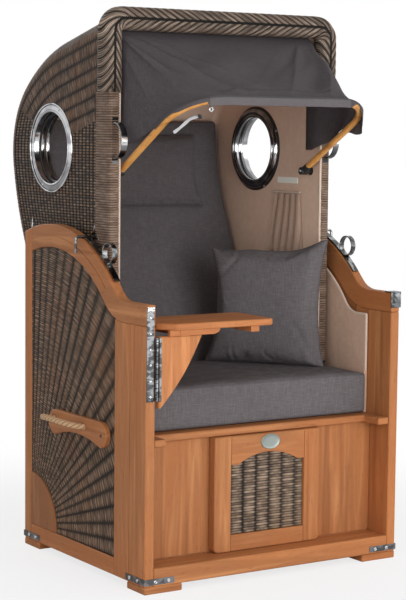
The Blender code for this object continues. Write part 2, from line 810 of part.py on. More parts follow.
def seat_cushion(cloth):
    half_z = SEAT_CUSHION_HEIGHT / 2
    start, end = FRONT + SEAT_CUSHION_FRONT, HOOD_LINE + SEAT_CUSHION_REAR
    half_y = (end - start) / 2
    step = HOOD_LINE + SEAT_CUSHION_STEP

    def shape(u, v, w):
        y = spread(v) * half_y
        wide = SEAT_CUSHION_HALF_FRONT if start + half_y + y < step else SEAT_CUSHION_HALF_REAR
        half = (wide, half_y, half_z)
        x, y, z = rounded((spread(u) * wide, y, w * half_z), half, SEAT_CUSHION_ROUND)
        swell = (1 - (x / wide) ** 2) * (1 - (y / half_y) ** 2)
        lift = SEAT_CROWN * swell if w > 0 else 0
        return (x, start + half_y + y, SEAT_HEIGHT + GAP + half_z + z + lift)

    padded("seat_cushion", (14, 12, 4), shape, cloth)


def throw_pillow(cloth):
    """A square cushion with thin pointed corners and drawn-in sides, leaning in the right corner."""

    def shape(u, v, w):
        a, b = spread(u), spread(v)
        x = PILLOW_HALF * a * (1 - PILLOW_DRAW_SHARE * (1 - b * b))
        z = PILLOW_HALF * b * (1 - PILLOW_DRAW_SHARE * (1 - a * a))
        puff = (max(0, 1 - a**4) * max(0, 1 - b**4)) ** PILLOW_PUFF_SHARE
        y = w * (PILLOW_EDGE + (PILLOW_THICK - PILLOW_EDGE) * puff) / 2
        y, z = y * cos(PILLOW_LEAN) + (z + PILLOW_HALF) * sin(PILLOW_LEAN), (
            (z + PILLOW_HALF) * cos(PILLOW_LEAN) - y * sin(PILLOW_LEAN)
        )
        x, y = x * cos(PILLOW_TURN) - y * sin(PILLOW_TURN), x * sin(PILLOW_TURN) + y * cos(PILLOW_TURN)
        rest = SEAT_CUSHION_TOP + GAP + PILLOW_LIFT
        return (PILLOW_X + x, HOOD_LINE + PILLOW_Y_BACK + y, rest + z)

    padded("throw_pillow", (12, 12, 2), shape, cloth)


# Hood


def hood_back(inset):
    """Points (y, z) over the roof and down the back, moved inwards by inset."""
    y, z = HOOD_FRONT, HOOD_TOP - inset / cos(ROOF_SLOPE)
    points = [(y, z)]
    length = ROOF_LENGTH - inset * tan(ROOF_SLOPE)
    y, z = y + length * cos(ROOF_SLOPE), z - length * sin(ROOF_SLOPE)
    points.append((y, z))
    turns = (
        (SHOULDER_RADIUS, ROOF_SLOPE, SHOULDER_END, 5),
        (CROWN_RADIUS, SHOULDER_END, CROWN_END, 9),
        (BACK_RADIUS, CROWN_END, BACK_END, 4),
    )
    for radius, start, end, steps in turns:
        bend = radius - inset
        for i in range(1, steps + 1):
            angle = start + (end - start) * i / steps
            points.append((y + bend * (sin(angle) - sin(start)), z - bend * (cos(start) - cos(angle))))
        y, z = points[-1]
    points.append((y + BACK_LENGTH * cos(BACK_END), z - BACK_LENGTH * sin(BACK_END)))
    return points


def lobe_line():
    """The lower edge of a hood wall, from its back end round the pivot to its front end."""
    back, front = hood_back(0)[-1], (HOOD_FRONT, HOOD_FRONT_FOOT)
    angles = []
    for (y, z), turn in ((back, -1), (front, 1)):
        away = hypot(y - PIVOT_Y, z - PIVOT_HEIGHT)
        angles.append(atan2(z - PIVOT_HEIGHT, y - PIVOT_Y) + turn * acos(LOBE_RADIUS / away))
    start, end = angles
    if end > 0:
        end -= 2 * pi
    return arc((PIVOT_Y, PIVOT_HEIGHT), LOBE_RADIUS, start, end, 8) + [front]


def hood_rings(inset, outline):
    """Outlines across the hood from side to side, with its long edges rounded."""
    half = HOOD_HALF - inset
    bend = max(HOOD_ROUND - inset, HOOD_LINING)
    steps = 4
    stations = []
    for i in range(steps + 1):
        angle = pi / 2 * (1 - i / steps)
        stations.append((half - bend + bend * sin(angle), inset + bend * (1 - cos(angle))))
    rings = [[(-x, y, z) for y, z in outline(step)] for x, step in stations]
    rings += [[(x, y, z) for y, z in outline(step)] for x, step in stations[::-1]]
    return rings


def hood_body(name, inset, material):
    return loft(name, hood_rings(inset, lambda step: hood_back(step) + lobe_line()), material, True)


def hood_hollow(name, inset, material):
    """The space inside the hood, running out past its front and its foot."""

    def outline(step):
        back = hood_back(step)
        y, z = back[-1]
        run = HOOD_TOP * HOLLOW_RUN_SHARE
        under = (y + cos(BACK_END) * run, z - sin(BACK_END) * run)
        out = HOOD_FRONT - BRAID_DEPTH * 2
        return back + [under, (out, under[1]), (out, back[0][1])]

    return loft(name, hood_rings(inset, outline), material, True)


def cross_cylinder(name, back, height, radius, reach, material):
    edge = arc((back, height), radius, 0, 2 * pi, 32)[:-1]
    return prism(name, edge, "yz", -reach, reach, material)


def seam_cut(name, up, material):
    """The space above or below the slanting seam between the hood's two weaves, level with the windows."""
    off = -up * GAP / 2
    near, far = HOOD_FRONT - HOOD_RISE, REAR + HOOD_RISE
    line = [(y, PORT_HEIGHT + off + SEAM_SLOPE * (HOOD_LINE + PORT_BACK - y)) for y in (near, far)]
    outline = line + [(far, line[1][1] + up * HOOD_TOP * 2), (near, line[0][1] + up * HOOD_TOP * 2)]
    reach = HOOD_HALF + OVERRUN
    return prism(name, outline, "yz", -reach, reach, material)


def hood_shell(wicker):
    """The woven hood wall in two parts, roof and shell, with openings for the round windows."""
    for name, cut in (("hood_shell", 1), ("hood_roof", -1)):
        made = hood_body(name, 0, wicker)
        combine(made, hood_hollow(name + "_hollow", HOOD_WALL, wicker), "DIFFERENCE")
        wall_openings(made, name, wicker)
        combine(made, seam_cut(name + "_seam_cut", cut, wicker), "DIFFERENCE")


def wall_openings(obj, tag, material):
    """Cuts the window and pivot openings through both walls, and the seat of the braid from the rim."""
    rim = box(
        tag + "_rim_cut",
        (-HOOD_HALF - OVERRUN, HOOD_FRONT - OVERRUN, BRAID_LOW),
        (HOOD_HALF + OVERRUN, HOOD_FRONT + BRAID_RIM, HOOD_TOP + OVERRUN),
        material,
    )
    combine(obj, rim, "DIFFERENCE")
    radius = PORT_OPENING + PORT_SLEEVE + GAP
    reach = HOOD_HALF + OVERRUN
    port = cross_cylinder(
        tag + "_port_cut", HOOD_LINE + PORT_BACK, PORT_HEIGHT, radius, reach, material
    )
    combine(obj, port, "DIFFERENCE")
    pin = cross_cylinder(
        tag + "_pin_cut", PIVOT_Y, PIVOT_HEIGHT, PIN_RADIUS + SLIP, reach, material
    )
    combine(obj, pin, "DIFFERENCE")


def hood_lining(cloth):
    inset = HOOD_WALL + GAP
    made = hood_body("hood_lining", inset, cloth)
    combine(made, hood_hollow("hood_lining_hollow", inset + HOOD_LINING, cloth), "DIFFERENCE")
    wall_openings(made, "hood_lining", cloth)


def braid_section(steps=9):
    """Half of an oval with a flat back: (share across, forward)."""
    return [
        (-cos(pi * i / steps) * BRAID_WIDTH / 2, sin(pi * i / steps) ** BRAID_FULL_SHARE * BRAID_DEPTH)
        for i in range(steps + 1)
    ]


def hood_braid(braid):
    """The plaited roll round the front edge of the hood."""
    half = HOOD_HALF + BRAID_OVER - BRAID_WIDTH / 2
    top = HOOD_TOP + BRAID_RISE - BRAID_WIDTH / 2
    bend = BRAID_ROUND
    path = [(-half, BRAID_LOW + GAP, -1, 0)]
    for i in range(9):
        angle = pi - pi / 2 * i / 8
        x, z = -half + bend + bend * cos(angle), top - bend + bend * sin(angle)
        path.append((x, z, cos(angle), sin(angle)))
    for i in range(9):
        angle = pi / 2 - pi / 2 * i / 8
        x, z = half - bend + bend * cos(angle), top - bend + bend * sin(angle)
        path.append((x, z, cos(angle), sin(angle)))
    path.append((half, BRAID_LOW + GAP, 1, 0))
    back = HOOD_FRONT + BRAID_RIM - GAP
    rings = [
        [(x + out_x * a, back - forward, z + out_z * a) for a, forward in braid_section()]
        for x, z, out_x, out_z in path
    ]
    loft("hood_braid", rings, braid, True)


def window(label, side, chrome):
    """A round window ring: flange outside, sleeve through the wall, flange inside."""
    outside, inside = HOOD_HALF, LINED_HALF
    hole, sleeve = PORT_OPENING, PORT_OPENING + PORT_SLEEVE
    ease = PORT_FLANGE_THICK / 3
    profile = [
        (hole, outside + PORT_FLANGE_THICK - ease), (hole + ease, outside + PORT_FLANGE_THICK),
        (PORT_FLANGE - 2 * ease, outside + PORT_FLANGE_THICK), (PORT_FLANGE, outside + ease),
        (PORT_FLANGE, outside + GAP), (sleeve, outside + GAP), (sleeve, inside - GAP),
        (PORT_INNER_FLANGE, inside - GAP), (PORT_INNER_FLANGE, inside - ease),
        (PORT_INNER_FLANGE - 2 * ease, inside - PORT_INNER_THICK),
        (hole + ease, inside - PORT_INNER_THICK), (hole, inside - PORT_INNER_THICK + ease),
    ]
    steps = 32
    centre_y, centre_z = HOOD_LINE + PORT_BACK, PORT_HEIGHT
    points = []
    for i in range(steps):
        angle = 2 * pi * i / steps
        points += [(side * x, centre_y + r * cos(angle), centre_z + r * sin(angle)) for r, x in profile]
    faces = []
    count = len(profile)
    for i in range(steps):
        for j in range(count):
            a, b = i * count, (i + 1) % steps * count
            k = (j + 1) % count
            faces.append((a + j, a + k, b + k, b + j))
    solid(label + "_window_ring", points, faces, chrome, True)


def hood_handle(label, side, chrome):
    """A flat band bowed out from the hood's front edge."""
    face = HOOD_FRONT - GAP - HANDLE_THICK / 2
    low, high = HANDLE_LOW, HANDLE_HIGH
    middle, half = (low + high) / 2, (high - low) / 2 - HANDLE_FOOT
    path = [(face, low)]
    for i in range(13):
        angle = pi * i / 12
        path.append((face - HANDLE_REACH * sin(angle) ** HANDLE_FULL_SHARE, middle - half * cos(angle)))
    path.append((face, high))
    centre = HOOD_HALF - HOOD_WALL / 2
    levels = side_levels(side, centre - HANDLE_WIDTH / 2, centre + HANDLE_WIDTH / 2)
    prism(label + "_hood_handle", ribbon(path, HANDLE_THICK), "yz", *levels, chrome)


def back_line(distance):
    """The point (y, z) and lean at a distance up the front of the back cushion."""
    y, z = HOOD_LINE + BACK_LINE_FOOT, BACK_LINE_FOOT_HEIGHT
    straight = min(distance, BACK_STRAIGHT)
    y, z = y + straight * sin(BACK_LEAN), z + straight * cos(BACK_LEAN)
    rest = distance - straight
    limit = (BACK_LEAN - BACK_LEAN_END) * BACK_BEND_RADIUS
    bend = min(max(rest, 0), limit)
    angle = BACK_LEAN - bend / BACK_BEND_RADIUS
    y += BACK_BEND_RADIUS * (cos(angle) - cos(BACK_LEAN))
    z += BACK_BEND_RADIUS * (sin(BACK_LEAN) - sin(angle))
    last = max(rest - limit, 0)
    return y + last * sin(angle), z + last * cos(angle), angle


def inside_back(z):
    """The Y of the lined back wall of the hood at height z."""
    line = [p for p in hood_back(HOOD_WALL + GAP + HOOD_LINING)[7:]]
    for (y0, z0), (y1, z1) in zip(line, line[1:]):
        if z0 >= z >= z1:
            return y0 + (y1 - y0) * (z0 - z) / (z0 - z1)
    foot_y, foot_z = line[-1]
    return foot_y - (foot_z - z) / tan(pi - BACK_END) if z < foot_z else line[0][0]


def corner_ease(x):
    """How far the lined back stands forward where it rounds into a side wall."""
    bend = HOOD_ROUND - (HOOD_WALL + GAP + HOOD_LINING)
    over = abs(x) - (LINED_HALF - bend)
    return 2 * (bend - sqrt(bend**2 - over**2)) if over > 0 else 0


def back_distance(height):
    """How far up the back line a height lies."""
    low, high = 0.0, BACK_CUSHION_TOP
    for _ in range(40):
        middle = (low + high) / 2
        if back_line(middle)[1] < height:
            low = middle
        else:
            high = middle
    return low


def back_cushion(cloth):
    """Fills the space from its front line to the hood's lined back."""
    foot = back_distance(BACK_CUSHION_FOOT)
    top = back_distance(BACK_CUSHION_TOP)

    def shape(u, v, w):
        x = spread(u) * BACK_CUSHION_HALF
        distance = foot + (top - foot) * (spread(v) + 1) / 2
        y, z, lean = back_line(distance)
        rear = inside_back(z) - GAP - corner_ease(x)
        edge = max(abs(spread(u)), abs(spread(v)))
        ease = BACK_CUSHION_ROUND * max(0, (edge - EDGE_SHARE) / (1 - EDGE_SHARE))
        swell = BACK_CROWN * (1 - spread(u) ** 2) * (1 - spread(v) ** 4)
        front = y + ease - swell
        return (x, front + (rear - ease / 2 - front) * (1 + w) / 2, z)

    padded("back_cushion", (12, 14, 2), shape, cloth)


def headrest(cloth):
    """A long soft cushion hung against the upper part of the back cushion."""

    def shape(u, v, w):
        a, b = spread(u), spread(v)
        draw = 1 - HEAD_DRAW_SHARE * (1 - b * b)
        x = HEAD_HALF * a * draw
        distance = HEAD_LOW + HEAD_LENGTH * (b + 1) / 2
        y, z, lean = back_line(distance)
        puff = (max(0, 1 - a**4) * max(0, 1 - b**4)) ** HEAD_PUFF_SHARE
        rear = BACK_CROWN + 2 * GAP
        front = rear + HEAD_EDGE + (HEAD_THICK - HEAD_EDGE) * puff
        out = front + (rear - front) * (1 + w) / 2
        return (x, y - out * cos(lean), z + out * sin(lean))

    padded("headrest_cushion", (10, 8, 2), shape, cloth)


# Awning


def bow_frame(distance):
    """(y, z) on the bow's plane at a distance from its pivot."""
    return (
        HOOD_LINE + BOW_PIVOT_BACK - distance * cos(BOW_RISE),
        BOW_PIVOT_HEIGHT + distance * sin(BOW_RISE),
    )


def bow_point(share):
    """The bow's centre line and its outward direction, for a share from left pivot (0) to right (1)."""
    arm = BOW_REACH - BOW_CORNER
    bar = 2 * (BOW_HALF - BOW_CORNER)
    turn = BOW_CORNER * pi / 2
    total = 2 * arm + 2 * turn + bar
    sign, distance = (-1, share * total) if share < 0.5 else (1, (1 - share) * total)
    if distance < arm:
        x, s, angle = BOW_HALF, distance, 0
    elif distance < arm + turn:
        angle = (distance - arm) / BOW_CORNER
        x = BOW_HALF - BOW_CORNER + BOW_CORNER * cos(angle)
        s = arm + BOW_CORNER * sin(angle)
    else:
        angle = pi / 2
        x = BOW_HALF - BOW_CORNER - (distance - arm - turn)
        s = BOW_REACH
    y, z = bow_frame(s)
    return Vector((sign * x, y, z)), Vector((sign * cos(angle), -sin(angle), 0))


def awning_bow(wood):
    """The bent wooden bow, with a round socket at each end that turns against the hood's lined wall."""
    arm = BOW_REACH - BOW_CORNER
    turn = BOW_CORNER * pi / 2
    total = 2 * arm + 2 * turn + 2 * (BOW_HALF - BOW_CORNER)
    shares = [0, arm / total]
    shares += [(arm + turn * i / 6) / total for i in range(1, 7)]
    shares += [1 - share for share in shares[::-1]]
    made = tube("awning_bow", [bow_point(share)[0] for share in shares], BOW_RADIUS, 10, wood)
    edge = arc((HOOD_LINE + BOW_PIVOT_BACK, BOW_PIVOT_HEIGHT), BOW_SOCKET, 0, 2 * pi, 20)[:-1]
    for label, side in SIDES.items():
        levels = side_levels(side, BOW_HALF - BOW_SOCKET, LINED_HALF - GAP)
        combine(made, prism(label + "_bow_socket", edge, "yz", *levels, wood), "UNION")


def attach_point(share):
    """Where the awning leaves the hood: up one side, across under the braid, down the other."""
    side = AWNING_TOP - AWNING_LOW - AWNING_ROUND
    turn = AWNING_ROUND * pi / 2
    bar = 2 * (AWNING_HALF - AWNING_ROUND)
    total = 2 * side + 2 * turn + bar
    sign, distance = (-1, share * total) if share < 0.5 else (1, (1 - share) * total)
    if distance < side:
        return Vector((sign * AWNING_HALF, 0, AWNING_LOW + distance)), Vector((sign, 0, 0))
    if distance < side + turn:
        angle = (distance - side) / AWNING_ROUND
        x = AWNING_HALF - AWNING_ROUND + AWNING_ROUND * cos(angle)
        z = AWNING_TOP - AWNING_ROUND + AWNING_ROUND * sin(angle)
        return Vector((sign * x, 0, z)), Vector((sign * cos(angle), 0, sin(angle)))
    x = AWNING_HALF - AWNING_ROUND - (distance - side - turn)
    return Vector((sign * x, 0, AWNING_TOP)), Vector((0, 0, 1))


def awning_hem(u, level):
    """How far the cloth hangs below the bow: a hem on the bar, less at the corners, a loose flap on the right."""
    arm = BOW_REACH - BOW_CORNER
    turn = BOW_CORNER * pi / 2
    ends = (arm + turn) / (2 * arm + 2 * turn + 2 * (BOW_HALF - BOW_CORNER))
    away = (1 - u) * (1 - 2 * AWNING_START_SHARE) / (ends - AWNING_START_SHARE)
    flap = AWNING_FLAP * sin(pi * away) if away < 1 else 0
    return AWNING_HEM + (AWNING_ARM_HEM - AWNING_HEM) * level + flap


def awning_fabric(cloth):
    """The cloth from the hood's edge to the bow, with a hem over the bow and folds from the corners."""
    columns, rows = 40, 8
    grid = [[] for _ in range(rows + 5)]
    tuck_side = LINED_HALF - GAP - AWNING_HALF - AWNING_THICK / 2
    run = AWNING_BACK + AWNING_TUCK - HOOD_FRONT_BACK
    roof = HOOD_TOP - (HOOD_WALL + 2 * GAP + HOOD_LINING) / cos(ROOF_SLOPE) - run * tan(ROOF_SLOPE)
    tuck_up = roof - AWNING_THICK - AWNING_TOP
    for j in range(columns + 1):
        u = j / columns
        hold, away = attach_point(u)
        hold.y = HOOD_LINE + AWNING_BACK
        bow, out = bow_point(AWNING_START_SHARE + (1 - 2 * AWNING_START_SHARE) * u)
        tuck = Vector((away.x * tuck_side, AWNING_TUCK, away.z * tuck_up))
        grid[0].append(hold + tuck)
        grid[1].append(hold + tuck / 2)
        hem = awning_hem(u, abs(out.x))
        clear = BOW_RADIUS + AWNING_THICK + AWNING_EASE
        over = bow + out * clear * AWNING_OVER_SHARE + Vector((0, 0, clear + GAP))
        for i in range(rows + 1):
            v = i / rows
            fold = AWNING_FOLD * sin(2 * pi * AWNING_FOLDS * u) * sin(pi * v)
            point = hold.lerp(over, v)
            point -= away * AWNING_SAG * sin(pi * v) * away.z
            grid[2 + i].append(point + away * fold)
        grid[rows + 3].append(bow + out * (clear + GAP) + Vector((0, 0, clear * AWNING_OUT_SHARE)))
        grid[rows + 4].append(bow + out * (clear + GAP) - Vector((0, 0, hem)))
    sheet("awning_fabric", grid, AWNING_THICK, cloth)


# Recline bars


def round_pivot(radius, angle):
    return (PIVOT_Y + radius * cos(angle), PIVOT_HEIGHT + radius * sin(angle))


def rod_place():
    """The (y, z) of the cross rods, on which the bars turn."""
    return round_pivot(ARC_RADIUS + BAR_LIFT + BAR_THICK / 2 + ROD_RADIUS / 4, BAR_START)


def recline_bar(label, side, chrome):
    """A curved flat bar on the arm's arc, with a grip loop, and a cross rod bent down outside the arm."""
    low = ARC_RADIUS + BAR_LIFT
    middle = low + BAR_THICK / 2
    path = arc((PIVOT_Y, PIVOT_HEIGHT), middle, BAR_START, BAR_END, 10)
    levels = side_levels(side, BAR_INSIDE, BAR_INSIDE + BAR_WIDTH)
    made = prism(label + "_recline_bar", ribbon(path, BAR_THICK), "yz", *levels, chrome)
    centre = round_pivot(middle + LOOP_RADIUS, LOOP_ANGLE)
    open_angle = LOOP_ANGLE + pi
    ring = arc(centre, LOOP_RADIUS, open_angle + radians(6), open_angle + radians(354), 24)
    inset = BAR_WIDTH / 12
    levels = side_levels(side, BAR_INSIDE + inset, BAR_INSIDE + BAR_WIDTH - inset)
    combine(made, prism(label + "_grip_loop", ribbon(ring, LOOP_THICK), "yz", *levels, chrome), "UNION")
    y, z = rod_place()
    start = HOOD_HALF + BAR_PLATE_THICK + SLIP
    bend = ROD_RADIUS * 2
    rod = [(side * start, y, z), (side * (start + ROD_LENGTH - bend), y, z)]
    for i in range(1, 5):
        angle = pi / 2 * i / 4
        rod.append((side * (start + ROD_LENGTH - bend + bend * sin(angle)), y, z - bend * (1 - cos(angle))))
    rod.append((side * (start + ROD_LENGTH), y, z - ROD_DROP))
    combine(made, tube(label + "_cross_rod", rod, ROD_RADIUS, 8, chrome), "UNION")


def bar_plate(label, side, chrome):
    """A three-cornered plate on the hood that the cross rod meets."""
    centre = round_pivot(ARC_RADIUS + BAR_LIFT + BAR_THICK / 2, BAR_START)
    reach = BAR_PLATE_REACH
    outline = [
        (centre[0] - reach / 2, centre[1] - reach / 3), (centre[0] + reach, centre[1] - reach / 4),
        (centre[0] + reach / 3, centre[1] + reach),
    ]
    levels = side_levels(side, HOOD_HALF + GAP, HOOD_HALF + BAR_PLATE_THICK)
    prism(label + "_bar_plate", outline, "yz", *levels, chrome, GAP * 4)


# Table


def table_outline():
    left, right = -TABLE_LEFT, -TABLE_RIGHT
    front, back = FRONT - TABLE_FRONT, FRONT - TABLE_FRONT + TABLE_DEPTH
    bend = TABLE_ROUND
    outline = [(left, front + TABLE_CLIP), (left + TABLE_CLIP * TABLE_CLIP_SHARE, front)]
    outline += arc((right - bend, front + bend), bend, -pi / 2, 0, 5)
    outline += arc((right - bend, back - bend), bend, 0, pi / 2, 5)
    outline.append((left, back))
    return outline


def table_top(teak):
    low = TABLE_TOP - TABLE_THICK
    made = prism("table_top", table_outline(), "xy", low, TABLE_TOP, teak, WOOD_BEVEL)
    start = FRONT - TABLE_FRONT + BATTEN_INSET
    for tag, place in (("left", BATTEN_LEFT), ("right", BATTEN_RIGHT)):
        batten = box(
            "table_batten_" + tag,
            (-place, start, low - BATTEN_HEIGHT),
            (-place + BATTEN_WIDTH, start + BATTEN_LENGTH, low + TABLE_THICK / 2),
            teak,
        )
        combine(made, batten, "UNION")


def hinge_axis():
    return (-INNER, FRONT - HINGE_OUT)


def leaf_face():
    """The Y of the swinging leaf's back, where it lies on the bracket's front face."""
    return FRONT - HINGE_OUT - HINGE_RADIUS + HINGE_LEAF


def table_bracket(teak):
    """The three-cornered board under the table, bowed along its free edge."""
    left = -INNER + HINGE_RADIUS + SLIP
    top = TABLE_TOP - TABLE_THICK - BATTEN_HEIGHT - GAP
    low = top - BRACKET_HEIGHT
    right = left + BRACKET_WIDTH
    outline = [(left, top), (left, low), (left + BRACKET_TIP, low)]
    run_x, run_z = right - left - BRACKET_TIP, top - low
    length = hypot(run_x, run_z)
    for i in range(1, 11):
        share = i / 10
        bow = BRACKET_BOW * sin(pi * share)
        outline.append(
            (left + BRACKET_TIP + run_x * share + bow * run_z / length,
             low + run_z * share - bow * run_x / length)
        )
    start = leaf_face() + GAP
    prism("table_bracket", outline, "xz", start, start + BRACKET_THICK, teak, WOOD_BEVEL)


def knuckle_spans(first):
    """Every second knuckle of the hinge, with a slip between neighbours."""
    length = (HINGE_HIGH - HINGE_LOW) / KNUCKLES
    return [
        (HINGE_LOW + length * i + SLIP / 2, HINGE_LOW + length * (i + 1) - SLIP / 2)
        for i in range(first, KNUCKLES, 2)
    ]


def hinge_leaf(name, near, far, back, first, chrome):
    """A leaf from X near to far, its back face at Y back, with every second knuckle joined on by a lug."""
    axis = hinge_axis()
    spans = knuckle_spans(first)
    left, right = sorted((near, far))
    made = box(name, (left, back - HINGE_LEAF, spans[0][0]), (right, back, spans[-1][1]), chrome)
    left, right = sorted((axis[0], near + (far - near) / 3))
    for i, (low, high) in enumerate(spans):
        edge = arc(axis, HINGE_RADIUS, 0, 2 * pi, 12)[:-1]
        combine(made, prism(f"{name}_knuckle_{i}", edge, "xy", low, high, chrome), "UNION")
        inset = SLIP / 4
        lug = box(
            f"{name}_lug_{i}",
            (left, back - HINGE_LEAF + inset, low + inset),
            (right, back - inset, high - inset),
            chrome,
        )
        combine(made, lug, "UNION")


def post_leaf(chrome):
    """The fixed leaf, on the front face of the left arm's post."""
    near = -INNER - HINGE_RADIUS - SLIP
    hinge_leaf("hinge_post_leaf", near, near - HINGE_LEAF_WIDTH, FRONT - GAP, 0, chrome)


def table_leaf(chrome):
    """The swinging leaf, on the front face of the table's bracket."""
    near = -INNER + HINGE_RADIUS + SLIP
    hinge_leaf("hinge_table_leaf", near, near + HINGE_LEAF_WIDTH, leaf_face(), 1, chrome)


# Footrest


def arch_outline(margin):
    """The arched opening, made smaller all round by margin."""
    half = ARCH_HALF - margin
    low, spring, top = ARCH_LOW + margin, ARCH_SPRING - margin, ARCH_TOP - margin
    reach = half - ARCH_SHOULDER
    rise = top - spring
    radius = (reach**2 + rise**2) / (2 * rise)
    span = asin(reach / radius)
    points = [(-half, low), (half, low), (half, spring)]
    points += arc((0, top - radius), radius, pi / 2 - span, pi / 2 + span, 14)
    points.append((-half, spring))
    return [(FOOTREST_MIDDLE + x, z) for x, z in points]


def footrest_front(teak):
    end = FRONT + LEDGE_DEPTH
    start = end - FOOTREST_THICK
    half = FOOTREST_HALF
    bend = FOOTREST_ROUND
    outline = [(half, FOOTREST_TOP), (-half, FOOTREST_TOP)]
    outline += arc((-half + bend, FOOTREST_LOW + bend), bend, pi, 3 * pi / 2, 4)
    outline += arc((half - bend, FOOTREST_LOW + bend), bend, -pi / 2, 0, 4)
    outline = [(FOOTREST_MIDDLE + x, z) for x, z in outline]
    made = prism("footrest_front", outline, "xz", start, end, teak, WOOD_BEVEL)
    cutter = prism("footrest_arch", arch_outline(0), "xz", start - OVERRUN, end + OVERRUN, teak)
    combine(made, cutter, "DIFFERENCE")
    for tag, sign in (("left", -1), ("right", 1)):
        middle = FOOTREST_MIDDLE + sign * ARCH_HALF
        line = box(
            "footrest_joint_" + tag,
            (middle - GROOVE_WIDTH / 2, start - OVERRUN, FOOTREST_LOW - OVERRUN),
            (middle + GROOVE_WIDTH / 2, start + GROOVE_DEPTH, FOOTREST_TOP + OVERRUN),
            teak,
        )
        combine(made, line, "DIFFERENCE")


def footrest_inset(wicker):
    start = FRONT + LEDGE_DEPTH - FOOTREST_THICK + INSET_RECESS
    prism("footrest_wicker", arch_outline(GAP), "xz", start, start + INSET_THICK, wicker)


def footrest_box(teak):
    """The sliding body behind the front: a top and two sides."""
    start = FRONT + LEDGE_DEPTH + GAP
    half, wall = BOX_HALF, BOX_WALL
    outline = [
        (-half, BOX_LOW), (-half + wall, BOX_LOW), (-half + wall, BOX_TOP - wall),
        (half - wall, BOX_TOP - wall), (half - wall, BOX_LOW), (half, BOX_LOW),
        (half, BOX_TOP), (-half, BOX_TOP),
    ]
    outline = [(FOOTREST_MIDDLE + x, z) for x, z in outline]
    prism("footrest_box", outline, "xz", start, start + BOX_LENGTH, teak)


# The whole chair


def clear_scene():
    for obj in list(bpy.data.objects):
        bpy.data.objects.remove(obj)


def skins():
    return {
        "teak": skin("teak", (0.50, 0.20, 0.075), 0.5),
        "wicker": skin("wicker", (0.105, 0.075, 0.055), 0.6),
        "braid": skin("braid", (0.20, 0.145, 0.105), 0.55),
        "grey_fabric": skin("grey_fabric", (0.075, 0.07, 0.073), 0.9),
        "beige_fabric": skin("beige_fabric", (0.30, 0.215, 0.17), 0.85),
        "chrome": skin("chrome", (0.80, 0.81, 0.82), 0.12, 1.0),
        "steel": skin("steel", (0.62, 0.63, 0.64), 0.3, 1.0),
        "rope": skin("rope", (0.63, 0.41, 0.19), 0.8),
        "bow_wood": skin("bow_wood", (0.62, 0.33, 0.11), 0.45),
    }


def hang(name, place, pieces, parent=None):
    """Parents moving pieces, with the hidden solids that shape them, to an empty on their joint's axis."""
    axis = bpy.data.objects.new(name, None)
    axis.empty_display_size = LOBE_RADIUS
    axis.location = place
    bpy.context.scene.collection.objects.link(axis)
    if parent:
        axis.parent = parent
        axis.matrix_parent_inverse = Matrix.Translation(-parent.location)
    for piece in pieces:
        obj = bpy.data.objects[piece]
        helpers = [modifier.object for modifier in obj.modifiers if modifier.type == "BOOLEAN"]
        for child in [obj] + helpers:
            child.parent = axis
            child.matrix_parent_inverse = Matrix.Translation(-Vector(place))
    return axis


def moving_parts():
    hood = ["hood_shell", "hood_roof", "hood_braid", "hood_lining"]
    hood += ["back_cushion", "headrest_cushion", "awning_fabric"]
    for label in SIDES:
        hood += [label + "_window_ring", label + "_hood_handle", label + "_bar_plate"]
    hood_axis = hang("hood_axis", (0, PIVOT_Y, PIVOT_HEIGHT), hood)
    hang("awning_axis", (0, HOOD_LINE + BOW_PIVOT_BACK, BOW_PIVOT_HEIGHT), ["awning_bow"], hood_axis)
    rod_y, rod_z = rod_place()
    for label in SIDES:
        hang(label + "_bar_axis", (0, rod_y, rod_z), [label + "_recline_bar"], hood_axis)
    table = ["table_top", "table_bracket", "hinge_table_leaf"]
    hang("table_axis", (*hinge_axis(), HINGE_LOW), table)
    footrest = ["footrest_front", "footrest_wicker", "footrest_box"]
    hang("footrest_slide", (FOOTREST_MIDDLE, FRONT + LEDGE_DEPTH, BOX_LOW), footrest)


def build():
    clear_scene()
    use = skins()
    for label, side in SIDES.items():
        front_stile(label, side, use["teak"])
        rear_stile(label, side, use["teak"])
        bottom_rail(label, side, use["teak"])
        top_rail(label, side, use["teak"])
        corner_gusset(label, side, use["teak"])
        wicker_panel(label, side, use["wicker"])
        side_lining(label, side, use["beige_fabric"])
        rope_plate(label, side, use["teak"])
        rope_handle(label, side, use["rope"])
        pivot_bracket(label, side, use["steel"])
        window(label, side, use["chrome"])
        hood_handle(label, side, use["chrome"])
        recline_bar(label, side, use["chrome"])
        bar_plate(label, side, use["chrome"])
        for place, front in (("front", True), ("rear", False)):
            foot(f"{label}_{place}_foot", side, front, use["teak"])
            corner_band(f"{label}_{place}_band", side, front, use["steel"])
    base_boards(use["teak"], use["wicker"])
    front_panel(use["teak"])
    seat_rail(use["teak"])
    arm_cap(use["chrome"])
    seat_cushion(use["grey_fabric"])
    throw_pillow(use["grey_fabric"])
    hood_shell(use["wicker"])
    hood_braid(use["braid"])
    hood_lining(use["beige_fabric"])
    back_cushion(use["grey_fabric"])
    headrest(use["grey_fabric"])
    awning_bow(use["bow_wood"])
    awning_fabric(use["grey_fabric"])
    table_top(use["teak"])
    table_bracket(use["teak"])
    post_leaf(use["chrome"])
    table_leaf(use["chrome"])
    footrest_front(use["teak"])
    footrest_inset(use["wicker"])
    footrest_box(use["teak"])
    moving_parts()


build()
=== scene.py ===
"""The looks of a hooded beach chair: woven walls, a plaited roll, cushions, an awning, oiled teak and metal.

Metres, +Z up, the front faces -Y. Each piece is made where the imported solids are.
"""

import bmesh
import bpy
import numpy as np
from mathutils import Matrix, Vector
from mathutils.bvhtree import BVHTree


